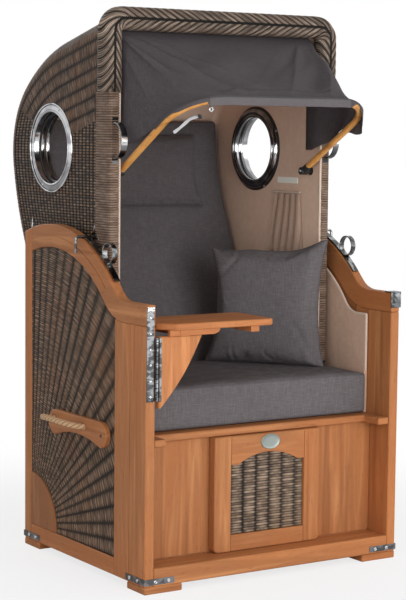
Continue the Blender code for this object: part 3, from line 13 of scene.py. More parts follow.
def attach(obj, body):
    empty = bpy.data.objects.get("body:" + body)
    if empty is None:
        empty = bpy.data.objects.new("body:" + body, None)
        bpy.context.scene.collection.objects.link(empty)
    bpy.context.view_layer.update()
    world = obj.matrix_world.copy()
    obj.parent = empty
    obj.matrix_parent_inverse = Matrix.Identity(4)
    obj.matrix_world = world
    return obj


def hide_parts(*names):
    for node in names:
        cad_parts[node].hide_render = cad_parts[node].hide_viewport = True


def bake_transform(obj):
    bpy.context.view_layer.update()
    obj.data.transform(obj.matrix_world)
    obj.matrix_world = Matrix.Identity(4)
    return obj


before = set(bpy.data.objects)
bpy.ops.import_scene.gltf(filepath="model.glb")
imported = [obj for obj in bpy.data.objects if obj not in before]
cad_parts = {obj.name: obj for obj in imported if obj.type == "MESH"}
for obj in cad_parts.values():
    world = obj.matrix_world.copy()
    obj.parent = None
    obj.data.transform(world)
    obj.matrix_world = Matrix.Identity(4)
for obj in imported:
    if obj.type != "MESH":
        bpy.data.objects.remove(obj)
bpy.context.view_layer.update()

# Sizes that the pieces share. PIVOT and WINDOW are places in Y and Z, GAP keeps a skin off its solid
FRONT, REAR = -0.4539, 0.2621
RAIL_TOP = 0.0703
PIVOT = np.array([0.0911, 0.491])
HOOD_HALF, HOOD_WALL, LINED_HALF = 0.3835, 0.029, 0.3512
HOOD_FRONT, HOOD_TOP, HOOD_ROUND = -0.1619, 1.597, 0.055
BRAID_LOW, BRAID_BACK = 1.371, -0.1322
WINDOW = np.array([0.1851, 1.209])
PANEL_FACE = 0.4301
SIDES = {"left": -1, "right": 1}
WEAVE_LIFT = 0.0004
GAP = 0.0003


# Arrays and meshes


def curve(start, end, count):
    return np.linspace(start, end, count)


def circle(count):
    return curve(0, 2 * np.pi, count + 1)[:-1]


def stack(*parts):
    """Joins coordinates of one shape into points."""
    return np.stack(np.broadcast_arrays(*parts), -1)


def unit(v):
    return v / np.maximum(np.linalg.norm(v, axis=-1, keepdims=True), 1e-12)


def patch(points, wrap=(False, False), flip=False, keep=None, **marks):
    """A grid of points, closed along its rows or columns where wrap says. marks are values per point."""
    return {"points": points, "wrap": wrap, "flip": flip, "keep": keep, "marks": marks}


def quads_of(one):
    rows, columns = one["points"].shape[:2]
    index = np.arange(rows * columns).reshape(rows, columns)
    if one["wrap"][0]:
        index = np.vstack([index, index[:1]])
    if one["wrap"][1]:
        index = np.hstack([index, index[:, :1]])
    quads = stack(index[:-1, :-1], index[1:, :-1], index[1:, 1:], index[:-1, 1:])
    if one["keep"] is not None:
        quads = quads[one["keep"][:-1, :-1] & one["keep"][1:, 1:]]
    quads = quads.reshape(-1, 4)
    return quads[:, ::-1] if one["flip"] else quads


def placed(name, data):
    obj = bpy.data.objects.new(name, data)
    bpy.context.scene.collection.objects.link(obj)
    return obj


def make(name, patches, finish, body, slot, nodes=(), merge=1e-6, sharp=None):
    """One object from patches, in its place, riding on a body. It stands for the named nodes."""
    points, quads, marks, start = [], [], {}, 0
    names = sorted({key for one in patches for key in one["marks"]})
    for one in patches:
        flat = one["points"].reshape(-1, 3)
        points.append(flat)
        quads.append(quads_of(one) + start)
        for key in names:
            value = one["marks"].get(key, 0.0)
            marks.setdefault(key, []).append(np.broadcast_to(value, one["points"].shape[:2]).reshape(-1))
        start += len(flat)
    points, quads = np.concatenate(points), np.concatenate(quads)
    mesh = bpy.data.meshes.new(name)
    mesh.vertices.add(len(points))
    mesh.vertices.foreach_set("co", points.astype(np.float32).ravel())
    mesh.loops.add(quads.size)
    mesh.loops.foreach_set("vertex_index", quads.astype(np.int32).ravel())
    mesh.polygons.add(len(quads))
    mesh.polygons.foreach_set("loop_start", np.arange(0, quads.size, 4, dtype=np.int32))
    mesh.update(calc_edges=True)
    for key in names:
        layer = mesh.attributes.new(key, "FLOAT", "POINT")
        layer.data.foreach_set("value", np.concatenate(marks[key]).astype(np.float32))
    work = bmesh.new()
    work.from_mesh(mesh)
    bmesh.ops.remove_doubles(work, verts=work.verts, dist=merge)
    bmesh.ops.dissolve_degenerate(work, edges=work.edges, dist=merge)
    loose = [vert for vert in work.verts if not vert.link_faces]
    bmesh.ops.delete(work, geom=loose, context="VERTS")
    work.to_mesh(mesh)
    work.free()
    mesh.shade_smooth()
    if sharp:
        mesh.set_sharp_from_angle(angle=np.radians(sharp))
    return dress(placed(name, mesh), finish, body, slot, nodes)


def dress(obj, finish, body, slot, nodes=()):
    obj.data.materials.clear()
    obj.data.materials.append(finish)
    if body:
        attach(obj, body)
    if nodes:
        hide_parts(*nodes)
    return obj


def eased_copy(node, finish, body, ease=0.0):
    """A node's own shape with its edges eased and its round faces shaded smooth."""
    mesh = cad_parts[node].data.copy()
    mesh.name = node + "_finished"
    work = bmesh.new()
    work.from_mesh(mesh)
    bmesh.ops.remove_doubles(work, verts=work.verts, dist=1e-5)
    bmesh.ops.dissolve_limit(work, angle_limit=np.radians(0.5), verts=work.verts, edges=work.edges)
    work.to_mesh(mesh)
    work.free()
    obj = placed(mesh.name, mesh)
    if ease:
        edges = obj.modifiers.new("edges", "BEVEL")
        edges.width = ease
        edges.segments = 2
        edges.limit_method = "ANGLE"
        edges.angle_limit = np.radians(40)
        mesh = applied(obj)
    mesh.shade_smooth()
    mesh.set_sharp_from_angle(angle=np.radians(35))
    return dress(obj, finish, body, "chrome", [node])


def applied(obj):
    """Makes what the modifiers show the object's own mesh."""
    graph = bpy.context.evaluated_depsgraph_get()
    graph.update()
    mesh = bpy.data.meshes.new_from_object(obj.evaluated_get(graph), depsgraph=graph)
    obj.modifiers.clear()
    obj.data = mesh
    return mesh


def thicken(obj, thickness, offset=0):
    """Gives a single sheet its two faces."""
    thick = obj.modifiers.new("thick", "SOLIDIFY")
    thick.thickness, thick.offset = thickness, offset
    applied(obj).shade_smooth()


def ends_twice(rows):
    return np.concatenate([rows[:1], rows, rows[-1:]])


def capped(points):
    """Rings with one more at each end, drawn to a point in the middle of the end ring."""
    first, last = (end.mean(1, keepdims=True).repeat(points.shape[1], 1) for end in (points[:1], points[-1:]))
    return np.concatenate([first, points, last])


def sweep(path, radius, sides, up=(0, 0, 1), flat=1.0, **marks):
    """A round bar with closed ends: point = path + radius * (cos a * across + flat * sin a * up)."""
    path = np.asarray(path, float)
    along = unit(np.gradient(path, axis=0))
    across = unit(np.cross(along, up))
    rise = np.cross(across, along)
    if np.ndim(radius):
        radius = np.asarray(radius, float).reshape(len(path), -1)
    radius = np.broadcast_to(radius, (len(path), sides))
    radius = np.vstack([radius[:1] * 0, radius, radius[-1:] * 0])
    path, across, rise = (ends_twice(rows)[:, None] for rows in (path, across, rise))
    angle = circle(sides)[None, :, None]
    ring = radius[..., None] * (np.cos(angle) * across + flat * np.sin(angle) * rise)
    return patch(path + ring, (False, True), **marks)


def square_to(axis):
    """An axis as a unit vector, and two directions square to it."""
    axis = unit(np.asarray(axis, float))
    side = unit(np.cross(axis, [0.3, 0.5, 0.8]))
    return axis, side, np.cross(axis, side)


def turned(profile, centre, axis, sides, loop=False, flip=False):
    """A profile of (radius, height) turned about an axis through centre."""
    profile = np.asarray(profile, float)[:, :, None, None]
    axis, side, other = square_to(axis)
    angle = circle(sides)[:, None]
    ring = np.cos(angle) * side + np.sin(angle) * other
    points = np.asarray(centre, float) + profile[:, 0] * ring + profile[:, 1] * axis
    return patch(points, (loop, True), flip=flip)


def bent_line(half, low, high, radius, count):
    """Up the left side, across and down the right side with round corners.

    Gives the places across and up, the direction outward and the length run so far.
    """
    side, turn, bar = high - low - radius, radius * np.pi / 2, 2 * (half - radius)
    length = curve(0, 2 * side + 2 * turn + bar, count)
    mirrored = length > length[-1] / 2
    run = np.where(mirrored, length[-1] - length, length)
    angle = np.clip((run - side) / radius, 0, np.pi / 2)
    x = half - radius + radius * np.cos(angle) - np.maximum(run - side - turn, 0)
    z = low + np.minimum(run, side) + radius * np.sin(angle)
    sign = np.where(mirrored, 1, -1)
    return x * sign, z, np.cos(angle) * sign, np.sin(angle), length


def smooth_step(value, low, high):
    t = np.clip((value - low) / (high - low), 0, 1)
    return t * t * (3 - 2 * t)


# Finishes


class Value:
    """A number that varies over a surface. Arithmetic on it adds its Math nodes."""

    def __init__(self, finish, link):
        self.finish, self.link = finish, link

    def math(self, operation, *others):
        terms = {i: term for i, term in enumerate((self, *others))}
        return self.finish.node("ShaderNodeMath", {"operation": operation}, terms)

    def __add__(self, other):
        return self.math("ADD", other)

    def __sub__(self, other):
        return self.math("SUBTRACT", other)

    def __mul__(self, other):
        return self.math("MULTIPLY", other)

    def __rsub__(self, other):
        return self.math("MULTIPLY", -1) + other

    def sine(self):
        return self.math("SINE")

    def whole(self):
        return self.math("FLOOR")

    def size(self):
        return self.math("ABSOLUTE")

    def between(self, low, high):
        """0 at low and 1 at high, with smooth ends."""
        ends = {"Value": self, "From Min": low, "From Max": high}
        return self.finish.node("ShaderNodeMapRange", {"interpolation_type": "SMOOTHSTEP"}, ends)


class Finish:
    """A material and the few node calls that its patterns need."""

    def __init__(self, name, roughness, metallic=0.0, **sockets):
        self.material = bpy.data.materials.new(name)
        self.material.use_nodes = True
        self.tree = self.material.node_tree
        self.shader = self.tree.nodes["Principled BSDF"]
        self.shader.inputs["Roughness"].default_value = roughness
        self.shader.inputs["Metallic"].default_value = metallic
        for key, value in sockets.items():
            self.shader.inputs[key.replace("_", " ")].default_value = value

    def put(self, socket, value):
        if isinstance(value, Value):
            self.tree.links.new(value.link, socket)
        else:
            socket.default_value = value

    def node(self, kind, settings, inputs, output=0):
        made = self.tree.nodes.new(kind)
        for key, value in settings.items():
            setattr(made, key, value)
        for key, value in inputs.items():
            self.put(made.inputs[key], value)
        return Value(self, made.outputs[output])

    def place(self, scale=(1, 1, 1)):
        """The object's own coordinates, scaled."""
        here = self.node("ShaderNodeTexCoord", {}, {}, "Object")
        return self.node("ShaderNodeMapping", {}, {"Vector": here, "Scale": scale})

    def mark(self, name):
        return self.node("ShaderNodeAttribute", {"attribute_name": name}, {}, "Fac")

    def noise(self, where, scale, detail=2.0, rough=0.5, warp=0.0):
        inputs = {"Vector": where, "Scale": scale, "Detail": detail, "Roughness": rough, "Distortion": warp}
        return self.node("ShaderNodeTexNoise", {}, inputs, "Fac")

    def pair(self, x, y):
        return self.node("ShaderNodeCombineXYZ", {}, {"X": x, "Y": y})

    def split(self, where):
        """X, Y and Z of a place."""
        parts = self.node("ShaderNodeSeparateXYZ", {}, {"Vector": where})
        return [Value(self, output) for output in parts.link.node.outputs]

    def mix(self, share, low, high):
        """A colour from low to high by share. Inputs 6 and 7 and output 2 are the node's colour sockets."""
        low, high = (end if isinstance(end, Value) else (*end, 1) for end in (low, high))
        return self.node("ShaderNodeMix", {"data_type": "RGBA"}, {0: share, 6: low, 7: high}, 2)

    def colour(self, value):
        self.put(self.shader.inputs["Base Color"], value if isinstance(value, Value) else (*value, 1))

    def roughness(self, value):
        self.put(self.shader.inputs["Roughness"], value)

    def relief(self, height, depth, strength=1.0):
        """height from 0 to 1 stands for depth metres."""
        bump = self.node("ShaderNodeBump", {}, {"Height": height, "Distance": depth, "Strength": strength})
        self.put(self.shader.inputs["Normal"], bump)


def teak(name, along, tone=1.0):
    """Oiled teak: long soft figure and fine dark pores that run along one axis."""
    made = Finish(name, 0.48, Specular_IOR_Level=0.18)
    base, height = grain(made, along, tone)
    made.colour(base)
    made.roughness(height * -0.16 + 0.60)
    made.relief(height, 0.00025, 0.6)
    return made.material


OILED = ((0.50, 0.216, 0.084), (0.310, 0.1145, 0.041), (0.44, 0.153, 0.050))
ASH = ((0.72, 0.365, 0.105), (0.58, 0.255, 0.062), (0.64, 0.30, 0.08))
STREAK, PORE = (0.22, 0.075, 0.024), (0.15, 0.055, 0.020)


def grain(made, along, tone, tints=OILED):
    """The colour of wood whose figure and pores run along one axis, and its height from 0 to 1."""
    drawn = ([squeeze if axis == along else 1.0 for axis in "xyz"] for squeeze in (0.07, 0.35, 0.03))
    here, wide, thin = (made.place(scale) for scale in drawn)
    figure = made.noise(here, 26, 3, 0.55, 0.9)
    broad = made.noise(wide, 5.5, 2)
    rings = (figure * 11 + broad * 5).sine() * 0.5 + 0.5
    pores = made.noise(here, 420, 2, 0.6).between(0.60, 0.74)
    streaks = made.noise(thin, 34, 2, 0.5, 0.4).between(0.57, 0.72)
    light, dark, warm, streak, pore = ([c * tone for c in tint] for tint in (*tints, STREAK, PORE))
    base = made.mix(rings * 0.8, light, dark)
    base = made.mix(broad.between(0.42, 0.66) * 0.6, base, warm)
    base = made.mix(streaks * 0.55, base, streak)
    base = made.mix(pores * 0.55, base, pore)
    return base, 1 - pores * 0.7 - rings * 0.3


def framed_teak(name, middle, half):
    """Teak whose stiles run upright and whose rails, within half of the middle, run across."""
    made = Finish(name, 0.48, Specular_IOR_Level=0.18)
    rails = ((made.split(made.place())[0] - middle).size() - half).between(0.0003, -0.0003)
    across, low = grain(made, "x", 0.97)
    upright, high = grain(made, "z", 1.0)
    made.colour(made.mix(rails, upright, across))
    made.roughness(0.50)
    made.relief(high * (1 - rails) + low * rails, 0.00025, 0.6)
    return made.material


def bow_wood(name):
    """Bent ash, paler and glossier than the teak."""
    made = Finish(name, 0.42, Specular_IOR_Level=0.35)
    base, height = grain(made, "y", 1.0, ASH)
    made.colour(base)
    made.relief(height, 0.00015, 0.5)
    return made.material


def woven(name, light, dark, warm, gap_shade, shade_dip=(0.20, 0.78)):
    """Round synthetic strands: mottled along each strand, with painted shade, a near-black colour, where the
    surface dips.
    """
    made = Finish(name, 0.55, Specular_IOR_Level=0.12)
    along, strand, depth = made.mark("along"), made.mark("strand"), made.mark("height")
    streak = made.noise(made.pair(along * 22, strand.whole() * 7.31), 1.0, 2, 0.6)
    patchy = made.noise(made.place(), 7, 2)
    each = made.noise(made.pair(strand.whole() * 3.77, 0.0), 1.0, 0)
    base = made.mix(streak.between(0.35, 0.68), dark, light)
    base = made.mix((each * 0.5 + patchy * 0.6).between(0.52, 0.72) * 0.6, base, warm)
    fine = made.noise(made.pair(along * 30, strand * 9), 1.0, 2, 0.6)
    base = made.mix(fine.between(0.55, 0.8) * 0.35, base, light)
    # Painted shade: low parts of the relief take the near-black gap colour
    base = made.mix(1 - depth.between(*shade_dip), base, gap_shade)
    made.colour(base)
    made.roughness(streak * 0.2 + 0.42)
    made.relief(fine, 0.0003, 0.5)
    return made.material


def cloth(name, tone, fleck, pitch=0.0011, depth=0.00022):
    """Plain weave cloth: crossed yarns, each lighter or darker along its run."""
    made = Finish(name, 0.92, Specular_IOR_Level=0.2)
    here = made.place()
    x, y, z = made.split(here)
    turns = 2 * np.pi / pitch
    weft = ((z + y * 0.62) * turns).sine()
    warp = ((x + y * 0.38) * turns).sine()
    yarn = (weft * warp) * 0.5 + 0.5
    slub_x = made.noise(made.place((40, 40, 900)), 1.0, 2)
    slub_z = made.noise(made.place((900, 60, 40)), 1.0, 2)
    flecks = (slub_x * 0.5 + slub_z * 0.5).between(0.40, 0.66)
    worn = made.noise(here, 3.5, 3)
    base = made.mix(flecks * 0.8, tone, fleck)
    base = made.mix(worn.between(0.4, 0.7) * 0.22, base, [c * 0.72 for c in tone])
    made.colour(base)
    made.relief(yarn * 0.7 + flecks * 0.3, depth, 0.55)
    return made.material


def metal(name, colour, roughness, brushed=0.0, shaded=0.0, painted_reflection_clouds=(11, 11, 26)):
    """Bright metal with faint smears, darker clouds that are painted dark reflections and, where it is
    brushed, fine lines.
    """
    made = Finish(name, roughness, 1.0)
    smear = made.noise(made.place(), 9, 3)
    # Painted reflections: broad clouds darken the colour to a sixth, as far as shaded says
    broad = made.noise(made.place(painted_reflection_clouds), 1.0, 1, 0.5, 0.6)
    base = made.mix(smear.between(0.3, 0.8) * 0.3, colour, [c * 0.82 for c in colour])
    made.colour(made.mix(broad.between(0.40, 0.56) * shaded, base, [c * 0.16 for c in colour]))
    lines = made.noise(made.place((60, 60, 1400)), 1.0, 1)
    made.roughness(smear * 0.10 + roughness + lines * brushed)
    made.relief(lines, 0.00005, brushed)
    return made.material


def plain(name, colour, roughness, grain=0.0002, scale=700):
    """A moulded or painted skin with a fine grain."""
    made = Finish(name, roughness)
    grains = made.noise(made.place(), scale, 2)
    made.colour(made.mix(grains * 0.35, colour, [c * 0.6 for c in colour]))
    made.relief(grains, grain, 0.4)
    return made.material


def laid(name, light, dark):
    """Laid rope: fibres run with each strand, and painted shade darkens the strands where they meet."""
    made = Finish(name, 0.85)
    fibres = made.noise(made.pair(made.mark("along") * 60, made.mark("strand") * 14), 1.0, 3, 0.6)
    base = made.mix(fibres.between(0.35, 0.7), dark, light)
    # Painted shade in the grooves between the strands
    base = made.mix(1 - made.mark("height").between(0.0, 0.5), base, [c * 0.35 for c in dark])
    made.colour(base)
    made.relief(fibres, 0.0006, 0.6)
    return made.material


def round_metal(name, centre, pale=0.40, dark=0.10, half=0.010):
    """Turned metal round a window: dark and pale sectors that are painted reflections, with one painted
    highlight, a bright band level with its middle.
    """
    made = Finish(name, 0.16, 1.0)
    up = made.split(made.place())[2] - centre
    # Painted highlight: the colour turns bright within half of the middle's height; the clouds below are
    # painted reflections
    band = 1 - up.size().between(half, half + 0.010)
    painted_reflection_clouds = made.noise(made.place((5, 14, 24)), 1.0, 1).between(0.40, 0.60)
    base = made.mix(painted_reflection_clouds * 0.8, (pale, pale, pale * 1.03), (dark, dark, dark * 1.05))
    made.colour(made.mix(band, base, (0.82, 0.83, 0.84)))
    made.roughness(painted_reflection_clouds * 0.08 + 0.12)
    return made.material


UPRIGHT_TEAK = teak("teak_upright", "z", 1.04)
# A lighter copy of the teak for the table bracket: painted light
LIT_TEAK = teak("teak_lit", "z", 1.22)
LONG_TEAK = teak("teak_along_the_side", "y", 0.97)
CROSS_TEAK = teak("teak_across", "x", 1.0)
SHADED_TEAK = teak("teak_shaded", "z", 0.92)
# A much darker copy of the teak for the rail under the arm and the bead at the panel's foot: painted shade
DEEP_SHADE_TEAK = teak("teak_deep_shade", "y", 0.62)
# A darker copy of the teak for the corner gussets: painted shade
SHADED_CORNER_TEAK = teak("teak_corner_shaded", "z", 0.72)
PANEL_TEAK = teak("teak_panel", "z", 0.97)
FRAMED_TEAK = framed_teak("teak_framed", 0.012, 0.1268)
WICKER = woven("wicker_mottled", (0.240, 0.166, 0.124), (0.080, 0.056, 0.043), (0.170, 0.088, 0.050),
               (0.006, 0.0045, 0.0035))
SIDE_WICKER = woven("wicker_walls", (0.255, 0.178, 0.128), (0.080, 0.054, 0.040), (0.22, 0.115, 0.066),
                    (0.006, 0.0045, 0.0035), (0.38, 0.92))
SUN_WICKER = woven("wicker_fan", (0.305, 0.203, 0.140), (0.110, 0.070, 0.048), (0.30, 0.155, 0.088),
                   (0.010, 0.007, 0.005), (0.20, 0.86))
INSET_WICKER = woven("wicker_inset", (0.34, 0.25, 0.18), (0.13, 0.092, 0.066), (0.24, 0.16, 0.10),
                     (0.014, 0.010, 0.008), (0.15, 0.80))
EDGE_WICKER = woven("wicker_edge", (0.26, 0.182, 0.136), (0.150, 0.098, 0.070), (0.20, 0.120, 0.080),
                    (0.020, 0.013, 0.010), (0.15, 0.85))
BRAID = woven("wicker_plait", (0.42, 0.32, 0.25), (0.11, 0.080, 0.062), (0.20, 0.13, 0.09),
              (0.006, 0.005, 0.004), (0.42, 0.86))
# The solids under the weave are near-black: painted shade of the weave's depth
SHADE_BACKING = plain("wicker_backing_shade", (0.020, 0.015, 0.012), 0.8)
GREY_CLOTH = cloth("cloth_grey", (0.100, 0.089, 0.093), (0.165, 0.150, 0.155))
# Darker copies of the grey cloth for the back cushion and the headrest under the awning: painted shade
SHADED_BACK_CLOTH = cloth("cloth_grey_back_shaded", (0.085, 0.075, 0.079), (0.140, 0.127, 0.132))
SHADED_HEAD_CLOTH = cloth("cloth_grey_headrest_shaded", (0.073, 0.064, 0.067), (0.120, 0.108, 0.112))
AWNING_CLOTH = cloth("cloth_awning", (0.072, 0.062, 0.066), (0.100, 0.088, 0.093), 0.0013)
HEM_CLOTH = cloth("cloth_awning_hem", (0.105, 0.094, 0.098), (0.140, 0.127, 0.131), 0.0013)
BEIGE_CLOTH = cloth("cloth_beige", (0.545, 0.365, 0.270), (0.620, 0.430, 0.325))
# A lighter copy of the beige cloth for the hood's lining, which sits in shade: painted light
LIT_HOOD_BEIGE = cloth("cloth_beige_hood_lit", (0.700, 0.500, 0.385), (0.760, 0.560, 0.440))
PIPING_CLOTH = cloth("cloth_piping", (0.60, 0.47, 0.38), (0.68, 0.56, 0.47))
POCKET_CLOTH = cloth("cloth_pocket", (0.42, 0.29, 0.22), (0.50, 0.36, 0.28))
SEAM = plain("seam_thread", (0.035, 0.033, 0.036), 0.9)
SEAM_CLOTH = cloth("cloth_grey_welt", (0.085, 0.076, 0.080), (0.13, 0.12, 0.125), 0.0016)
CHROME = metal("chrome_polished", (0.36, 0.37, 0.37), 0.14, 0.0, 0.9, (40, 40, 40))
# The round metals carry painted reflections and a painted highlight band level with the height given
HANDLE_CHROME = round_metal("chrome_handle", 1.235, 0.22, 0.035, 0.006)
HINGE_METAL = metal("chrome_hinge", (0.25, 0.26, 0.27), 0.22, 0.0, 0.85, (40, 40, 75))
WINDOW_CHROME = round_metal("chrome_round", 1.209, 0.36, 0.08, 0.007)
OUTER_CHROME = round_metal("chrome_flange", 1.209, 0.56, 0.26, 0.007)
STEEL = metal("steel_satin", (0.20, 0.20, 0.21), 0.32, 0.12, 0.6, (40, 40, 60))
DARK_METAL = metal("metal_dark", (0.10, 0.10, 0.105), 0.30, 0.0, 0.6)
BRIGHT = metal("screw_bright", (0.70, 0.71, 0.72), 0.18, 0.0, 0.7, (260, 260, 260))
PLATE = metal("plate_blank", (0.27, 0.30, 0.28), 0.34, 0.08)
LABEL = plain("label_blank", (0.95, 0.96, 0.88), 0.5)
GASKET = plain("gasket_rubber", (0.020, 0.015, 0.014), 0.6)
BLACK = plain("bracket_black", (0.018, 0.018, 0.019), 0.45)
ROPE = laid("rope_laid", (0.70, 0.46, 0.27), (0.42, 0.245, 0.125))
STRAP = cloth("strap_grey", (0.42, 0.42, 0.43), (0.50, 0.50, 0.51), 0.0016)
BOW_WOOD = bow_wood("bow_ash")


# The woven hood


def banded(along, across, band, strand, stagger=0.22):
    """Strands side by side that puff out once in each band, a little more in every second strand.

    height = |sin(pi * across / strand)| ^ 0.5 * |sin(pi * along / band)| ^ 0.45 * (1, or 1 - stagger in turn)
    """
    count = np.floor(across / strand + 1e-9)
    row = np.floor(along / band + 1e-9)
    arch = np.abs(np.sin(np.pi * across / strand)) ** 0.5
    puff = np.abs(np.sin(np.pi * along / band)) ** 0.45
    return arch * puff * (1 - stagger * np.mod(count + row, 2))


# The hood from the side: the roof's run and slope, then each bend's radius and its last slope in degrees
ROOF, ROOF_ANGLE = 0.3174, np.radians(13.3)
BENDS = [(0.584, 38.6), (0.275, 100.1), (0.905, 114.1)]


def outline(s, inset=0.0):
    """A straight roof, three bends and a straight back. Gives Y, Z and slope at the distance s along it."""
    s = np.asarray(s, float)
    y = HOOD_FRONT + np.minimum(s, ROOF) * np.cos(ROOF_ANGLE)
    z = HOOD_TOP - np.minimum(s, ROOF) * np.sin(ROOF_ANGLE)
    slope = np.full_like(s, ROOF_ANGLE)
    used, start = ROOF, ROOF_ANGLE
    for radius, end in BENDS:
        end = np.radians(end)
        turn = start + np.clip((s - used) / radius, 0, end - start)
        y = y + radius * (np.sin(turn) - np.sin(start))
        z = z + radius * (np.cos(turn) - np.cos(start))
        slope = np.where(s > used, turn, slope)
        used, start = used + radius * (end - start), end
    rest = np.maximum(s - used, 0)
    y = y + rest * np.cos(start) - inset * np.sin(slope)
    z = z - rest * np.sin(start) - inset * np.cos(slope)
    return y, z, slope


def back_edge(z, inset):
    """The Y of the hood's back at height z, inset from the outline."""
    s = curve(0.62, 1.4396, 900)
    y, height, _ = outline(s, inset)
    return np.interp(-z, -height, y)


# Where the roof's weave ends on the side wall, as Y and Z
SEAM_LINE = np.array(
    [(-0.25, 1.334), (-0.162, 1.309), (-0.081, 1.286), (0.062, 1.245), (0.12, 1.232), (0.20, 1.240),
     (0.27, 1.262), (0.33, 1.295), (0.40, 1.335), (0.47, 1.380)]
)
FLAT = HOOD_HALF - HOOD_ROUND
TURN = HOOD_ROUND * np.pi / 2
RIB, ROOF_STRAND = 0.0385, 0.0068
EDGE_OFFSET = 0.006
SIDE_STAKE, SIDE_STRAND, SIDE_STAKES = 0.0240, 0.0084, 24
ROOF_START, ROOF_END, BACK_END = 0.0313, 0.70, 1.415
WINDOW_HIDE = 0.121


def seam_height(y):
    return np.interp(y, SEAM_LINE[:, 0], SEAM_LINE[:, 1])


def beside_window(y, z):
    return np.hypot(y - WINDOW[0], z - WINDOW[1]) > WINDOW_HIDE


def below_edge(s, down):
    """Y and Z on a side wall, at a distance down from its rounded edge and square to the outline at s."""
    y, z, slope = outline(s, HOOD_ROUND)
    return y - down * np.sin(slope), z - down * np.cos(slope)


def seam_depth(s):
    """How far below the rounded edge the roof's weave runs down the side wall, for each s."""
    deepest = 0.30
    down = curve(0, deepest, 301)[None]
    y, z = below_edge(s[:, None], down)
    below = z < seam_height(y)
    return np.where(below.any(1), down[0][below.argmax(1)], deepest)


def roof_skin(start, end, rows):
    """The weave over the roof or back: s along the outline, c across it and round both long edges.

    point = outline(s) drawn in by 0.055 * (1 - cos t) and out sideways by 0.055 * sin t, raised by the relief
    """
    columns = 178
    s = curve(start, end, rows)[:, None]
    c = curve(-FLAT - TURN, FLAT + TURN, columns)[None]
    t = np.maximum(np.abs(c) - FLAT, 0) / HOOD_ROUND
    y, z, slope = outline(s + 0 * c, HOOD_ROUND * (1 - np.cos(t)))
    x = np.sign(c) * (np.minimum(np.abs(c), FLAT) + HOOD_ROUND * np.sin(t))
    height = banded(np.abs(c) + EDGE_OFFSET, s, RIB, ROOF_STRAND)
    lift = WEAVE_LIFT + 0.0012 * smooth_step(t, 0, np.pi / 2) + 0.0022 * height
    normal = stack(np.sign(c) * np.sin(t) + 0 * s, np.cos(t) * np.sin(slope), np.cos(t) * np.cos(slope))
    points = stack(x + 0 * s, y, z) + normal * lift[..., None]
    return patch(points, flip=True, height=height, along=c + 0 * s, strand=s / ROOF_STRAND + 0 * c)


def upper_side_skin(side):
    """The roof's weave carried down a side wall to its slanting seam. Rows stay parallel to the roof."""
    s = curve(ROOF_START, 0.80, 470)
    depth = seam_depth(s)
    share = curve(0, 1, 54)[None]
    down = share * depth[:, None]
    y, z = below_edge(s[:, None], down)
    height = banded(FLAT + TURN + EDGE_OFFSET + down, s[:, None], RIB, ROOF_STRAND)
    edge = smooth_step(depth[:, None] - down, 0.0, 0.0015)
    hem = 1 - smooth_step(depth[:, None] - down, 0.004, 0.012)
    x = HOOD_HALF + WEAVE_LIFT + edge * (0.0014 + 0.0022 * np.maximum(height, 0.8 * hem))
    beside_binding = (y > HOOD_FRONT + 0.0785) | (z > BRAID_LOW)
    keep = beside_window(y, z) & (depth[:, None] > 0.001) & beside_binding
    # The height mark falls to nothing at the seam's lower edge, which the finish shows as a painted shadow
    # line under the step
    return patch(
        stack(side * x, y, z), flip=side > 0, keep=keep, height=np.maximum(height, 0.6 * hem) * edge,
        along=FLAT + TURN + down, strand=s[:, None] / ROOF_STRAND + 0 * share,
    )


def lower_side_skin(side):
    """The side wall under the seam: level strands round stakes that fan a little toward the back."""
    z = curve(0.60, 1.40, 445)[:, None]
    share = curve(0, 1, 146)[None]
    front = -0.090
    y = front + share * (back_edge(z, HOOD_ROUND) - front)
    stakes = SIDE_STAKES * share + 0 * z
    height = banded(stakes * SIDE_STAKE, z, SIDE_STAKE, SIDE_STRAND, 0.12)
    x = HOOD_HALF + WEAVE_LIFT + 0.0026 * height
    keep = beside_window(y, z) & (z < seam_height(y) + 0.012)
    return patch(
        stack(side * x, y, z + 0 * y), flip=side > 0, keep=keep, height=height,
        along=stakes * SIDE_STAKE, strand=z / SIDE_STRAND + 0 * share,
    )


def edge_binding(side):
    """Strands wound tight round a side wall's front edge, over its face and 74 mm back along its outside."""
    foot, strand = 0.563, 0.0071
    z = curve(foot, BRAID_LOW + 0.004, 560)[:, None]
    inner, outer, bend = LINED_HALF + 0.001, HOOD_HALF, 0.007
    face, corner, back = outer - inner - bend, bend * np.pi / 2, 0.0735
    p = curve(0, face + corner + back, 64)[None]
    turn = np.clip((p - face) / bend, 0, np.pi / 2)
    x = inner + np.minimum(p, face) + bend * np.sin(turn)
    y = HOOD_FRONT + bend * (1 - np.cos(turn)) + np.maximum(p - face - corner, 0)
    slant = (z - foot) / strand + 0.08 * np.sin(p * 30)
    arch = np.abs(np.sin(np.pi * slant)) ** 0.55
    ease = smooth_step(p, 0, 0.002) * smooth_step(face + corner + back - p, 0, 0.003)
    wobble = 0.94 + 0.06 * np.sin(p * 70 + np.floor(slant) * 2.4)
    height = arch * wobble * ease
    lift = WEAVE_LIFT * 0.5 + 0.0034 * height
    normal = stack(np.sin(turn) + 0 * z, -np.cos(turn) + 0 * z, 0 * z + 0 * p)
    points = stack(side * (x + 0 * z), y + 0 * z, z + 0 * p)
    normal[..., 0] *= side
    points = points + normal * lift[..., None]
    return patch(points, flip=side > 0, height=height, along=p + 0 * z, strand=slant)


BRAID_HALF, BRAID_TOP, BRAID_BEND = 0.3755, 1.578, 0.038
BRAID_WIDE, BRAID_DEEP = 0.066, 0.040


